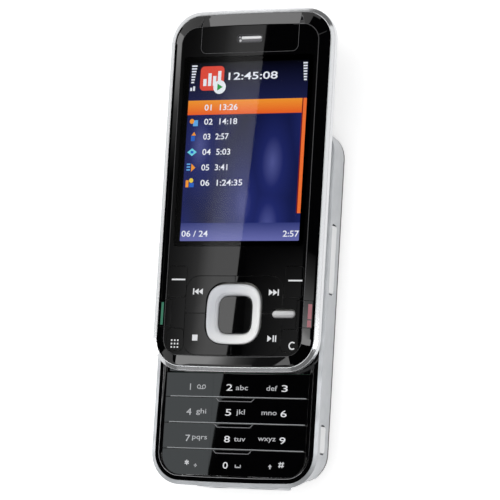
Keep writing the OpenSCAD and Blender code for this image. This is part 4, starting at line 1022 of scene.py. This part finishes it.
def fading_light(name, along, across=((0.0, 1.0),)):
    """Light that changes along the card's sides: along has stops of (place, strength), across of
    (place, share)."""
    most = max(strength for place, strength in along)
    light = Light(name, most)
    split = light.node("ShaderNodeSeparateXYZ")
    light.link(light.node("ShaderNodeTexCoord").outputs["UV"], split.inputs[0])
    sides = [light.ramp(split.outputs[axis], *((place, [value / full] * 3) for place, value in stops))
             for axis, stops, full in (("X", along, most), ("Y", across, 1.0))]
    light.link(light.product(*sides), light.emission.inputs["Color"])
    return light


def area_lamp(name, place, size, watts):
    """A lamp, in metres, that shines on the phone and that gloss doesn't see."""
    data = bpy.data.lights.new(name, "AREA")
    data.shape, data.size, data.energy = "SQUARE", size, watts
    lamp = add_object(name, data)
    lamp.location = place
    lamp.rotation_euler = (Vector((0, 0.015, 0.01)) - Vector(place)).to_track_quat("-Z", "Y").to_euler()
    lamp.visible_glossy = False


def card(name, centre, along, across, light):
    """A flat card that only gloss sees: along and across are its half sides, as vectors."""
    c, a, b = (Vector(v) * MM for v in (centre, along, across))
    mesh = bpy.data.meshes.new(name)
    mesh.from_pydata([c - a - b, c + a - b, c + a + b, c - a + b], [], [(0, 1, 2, 3)])
    mesh.uv_layers.new(name="UVMap")
    for corner, uv in zip(mesh.uv_layers[0].data, ((0, 0), (1, 0), (1, 1), (0, 1))):
        corner.uv = uv
    mesh.materials.append(light.material)
    obj = add_object(name, mesh)
    obj.visible_camera = obj.visible_diffuse = obj.visible_shadow = obj.visible_volume_scatter = False


def sky_card(name, right, left, light):
    """A card at SKY_Z. right and left are the (low, high) ends of its two edges."""
    low, high, high_left, low_left = (Vector((*p, SKY_Z)) for p in (*right, *left[::-1]))
    card(name, (low + high + high_left + low_left) / 4, ((low_left + high_left) - (low + high)) / 4,
         ((high + high_left) - (low + low_left)) / 4, light)


def make_front_cards():
    """The studio's lights as the flat black surfaces mirror them, under a dark ceiling."""
    card("ceiling", (0, 0, 1200), (1600, 0, 0), (0, 1600, 0), Light("flag_black", 0.0))
    # Strip over the front: a sharp right edge, even at first and then fading to the left
    sky_card("front_strip", ((-251.3, 31), (-233.9, 200)), ((-303.3, 31), (-299, 200)), fading_light(
        "front_strip_light", ((0.0, 1.75), (0.2, 1.7), (0.27, 1.4), (0.31, 1.05), (0.36, 0.65), (0.42, 0.46),
                              (0.52, 0.28), (0.64, 0.15), (1.0, 0.0)),
        ((0.0, 1.0), (0.3, 1.0), (0.9, 0.55), (1.0, 0.5))))
    # A faint light on the lower right of the front
    sky_card("front_fill", ((-212, 33), (-212, 88)), ((-241, 33), (-241, 88)), fading_light(
        "front_fill_light", ((0.0, 0.35), (0.5, 0.2), (1.0, 0.03)), ((0.0, 1.0), (0.6, 0.7), (1.0, 0.0))))
    # Strip over the keypad: even, with a sharp right edge
    sky_card("pad_strip", ((-260.2, -42), (-255.5, 30.9)), ((-300, -42), (-290, 30.9)),
             Light("pad_strip_light", 1.6, (0.9, 0.97, 1.0)))


def make_edge_cards():
    """Lights that only the rim, the frame's chamfers and the rounded edges mirror."""
    for name, right, left, low, high, strength in (
            ("edge_card", -80, -190, -130, 320, 2.0),
            ("crest_card", -195, -295, -132, -55, 4.0),
            ("left_edge_card", -310, -440, -130, 320, 2.5),
            ("rim_card", 220, 40, 36, 360, 1.05),
            ("rim_low_card", -190, -390, -425, -290, 0.2),
            ("rim_top_card", -250, -470, 500, 650, 0.95),
            ("base_right_card", 270, 50, -70, 35, 3.5),
            ("base_low_card", -190, -400, -640, -426, 2.6)):
        sky_card(name, ((right, low), (right, high)), ((left, low), (left, high)),
                 Light(name + "_light", strength))
    card("base_left_card", (-800, -60, 340), (0, 100, 0), (0, 0, 100), Light("base_left_card_light", 5.5))


def make_border_cards():
    """Soft boxes beyond the ends and the sides, for the sloping border."""
    card("top_card", (-211, 450, 257), (30, 0, 0), (0, 10, 30), Light("top_card_light", 3.7))
    card("low_card", (-240, -360, 313), (55, 0, 0), (0, 0, 50), fading_light(
        "low_card_light", ((0.0, 5.0), (0.5, 5.0), (0.575, 3.5), (0.63, 1.8), (0.685, 0.9), (0.739, 0.52),
                           (0.794, 0.26), (0.83, 0.12), (1.0, 0.1))))
    card("left_card", (-400, 70, 108), (0, 190, 0), (0, 0, 32), fading_light(
        "left_card_light", ((0.0, 0.0), (0.56, 0.0), (0.587, 0.11), (0.632, 0.47), (0.666, 1.6), (0.7, 2.9),
                            (1.0, 2.9))))
    card("left_low_card", (-400, 70, 40), (0, 300, 0), (0, 0, 35.8), Light("flag_low", 0.0))
    card("right_card", (274, 3, 470), (0, 75, 0), (44, 0, 0), fading_light(
        "right_card_light", ((0.0, 5.2), (0.707, 5.2), (0.76, 3.2), (0.84, 1.6), (0.88, 1.0), (0.933, 0.4),
                             (1.0, 0.05))))


# -------- the scene
dress_nodes()
make_rounded_pieces()
make_navigation_ring()
make_select_key()
make_multimedia_key()
make_grille()
make_edge_lines()
# The print is real, and its small emission is a painted glow that brightens the marks; the green and red ones
# glow most
print_white_painted_glow = ink("print_white_painted_glow", (0.75, 0.76, 0.78), 0.12)
print_pale_painted_glow = ink("print_pale_painted_glow", (0.5, 0.51, 0.53), 0.06)
make_front_marks(print_white_painted_glow, ink("print_green_painted_glow", (0.004, 0.14, 0.075), 0.25),
                 ink("print_red_painted_glow", (0.32, 0.11, 0.13), 0.25))
make_number_marks(print_white_painted_glow, print_pale_painted_glow)
make_sign_marks(print_white_painted_glow, print_pale_painted_glow)
# Grey for the painted highlights on the key rows and round the raised bars
make_painted_highlights(satin_metal("painted_highlight_rows", (0.27, 0.28, 0.29), 0.3, 0.3, 0.4),
           satin_metal("painted_highlight_bars", (0.2, 0.2, 0.21), 0.3, 0.3, 0.4))
make_picture()
make_icons()
make_screen_figures(glow("display_figures", srgb(236, 238, 244)))
make_camera()
make_floor()
make_world()
area_lamp("key_lamp", (-0.7, 0.5, 1.1), 0.9, 4.2)
area_lamp("fill_lamp", (0.8, -0.5, 1.0), 0.9, 3.0)
make_front_cards()
make_edge_cards()
make_border_cards()

bpy.context.scene.view_settings.view_transform = "Standard"
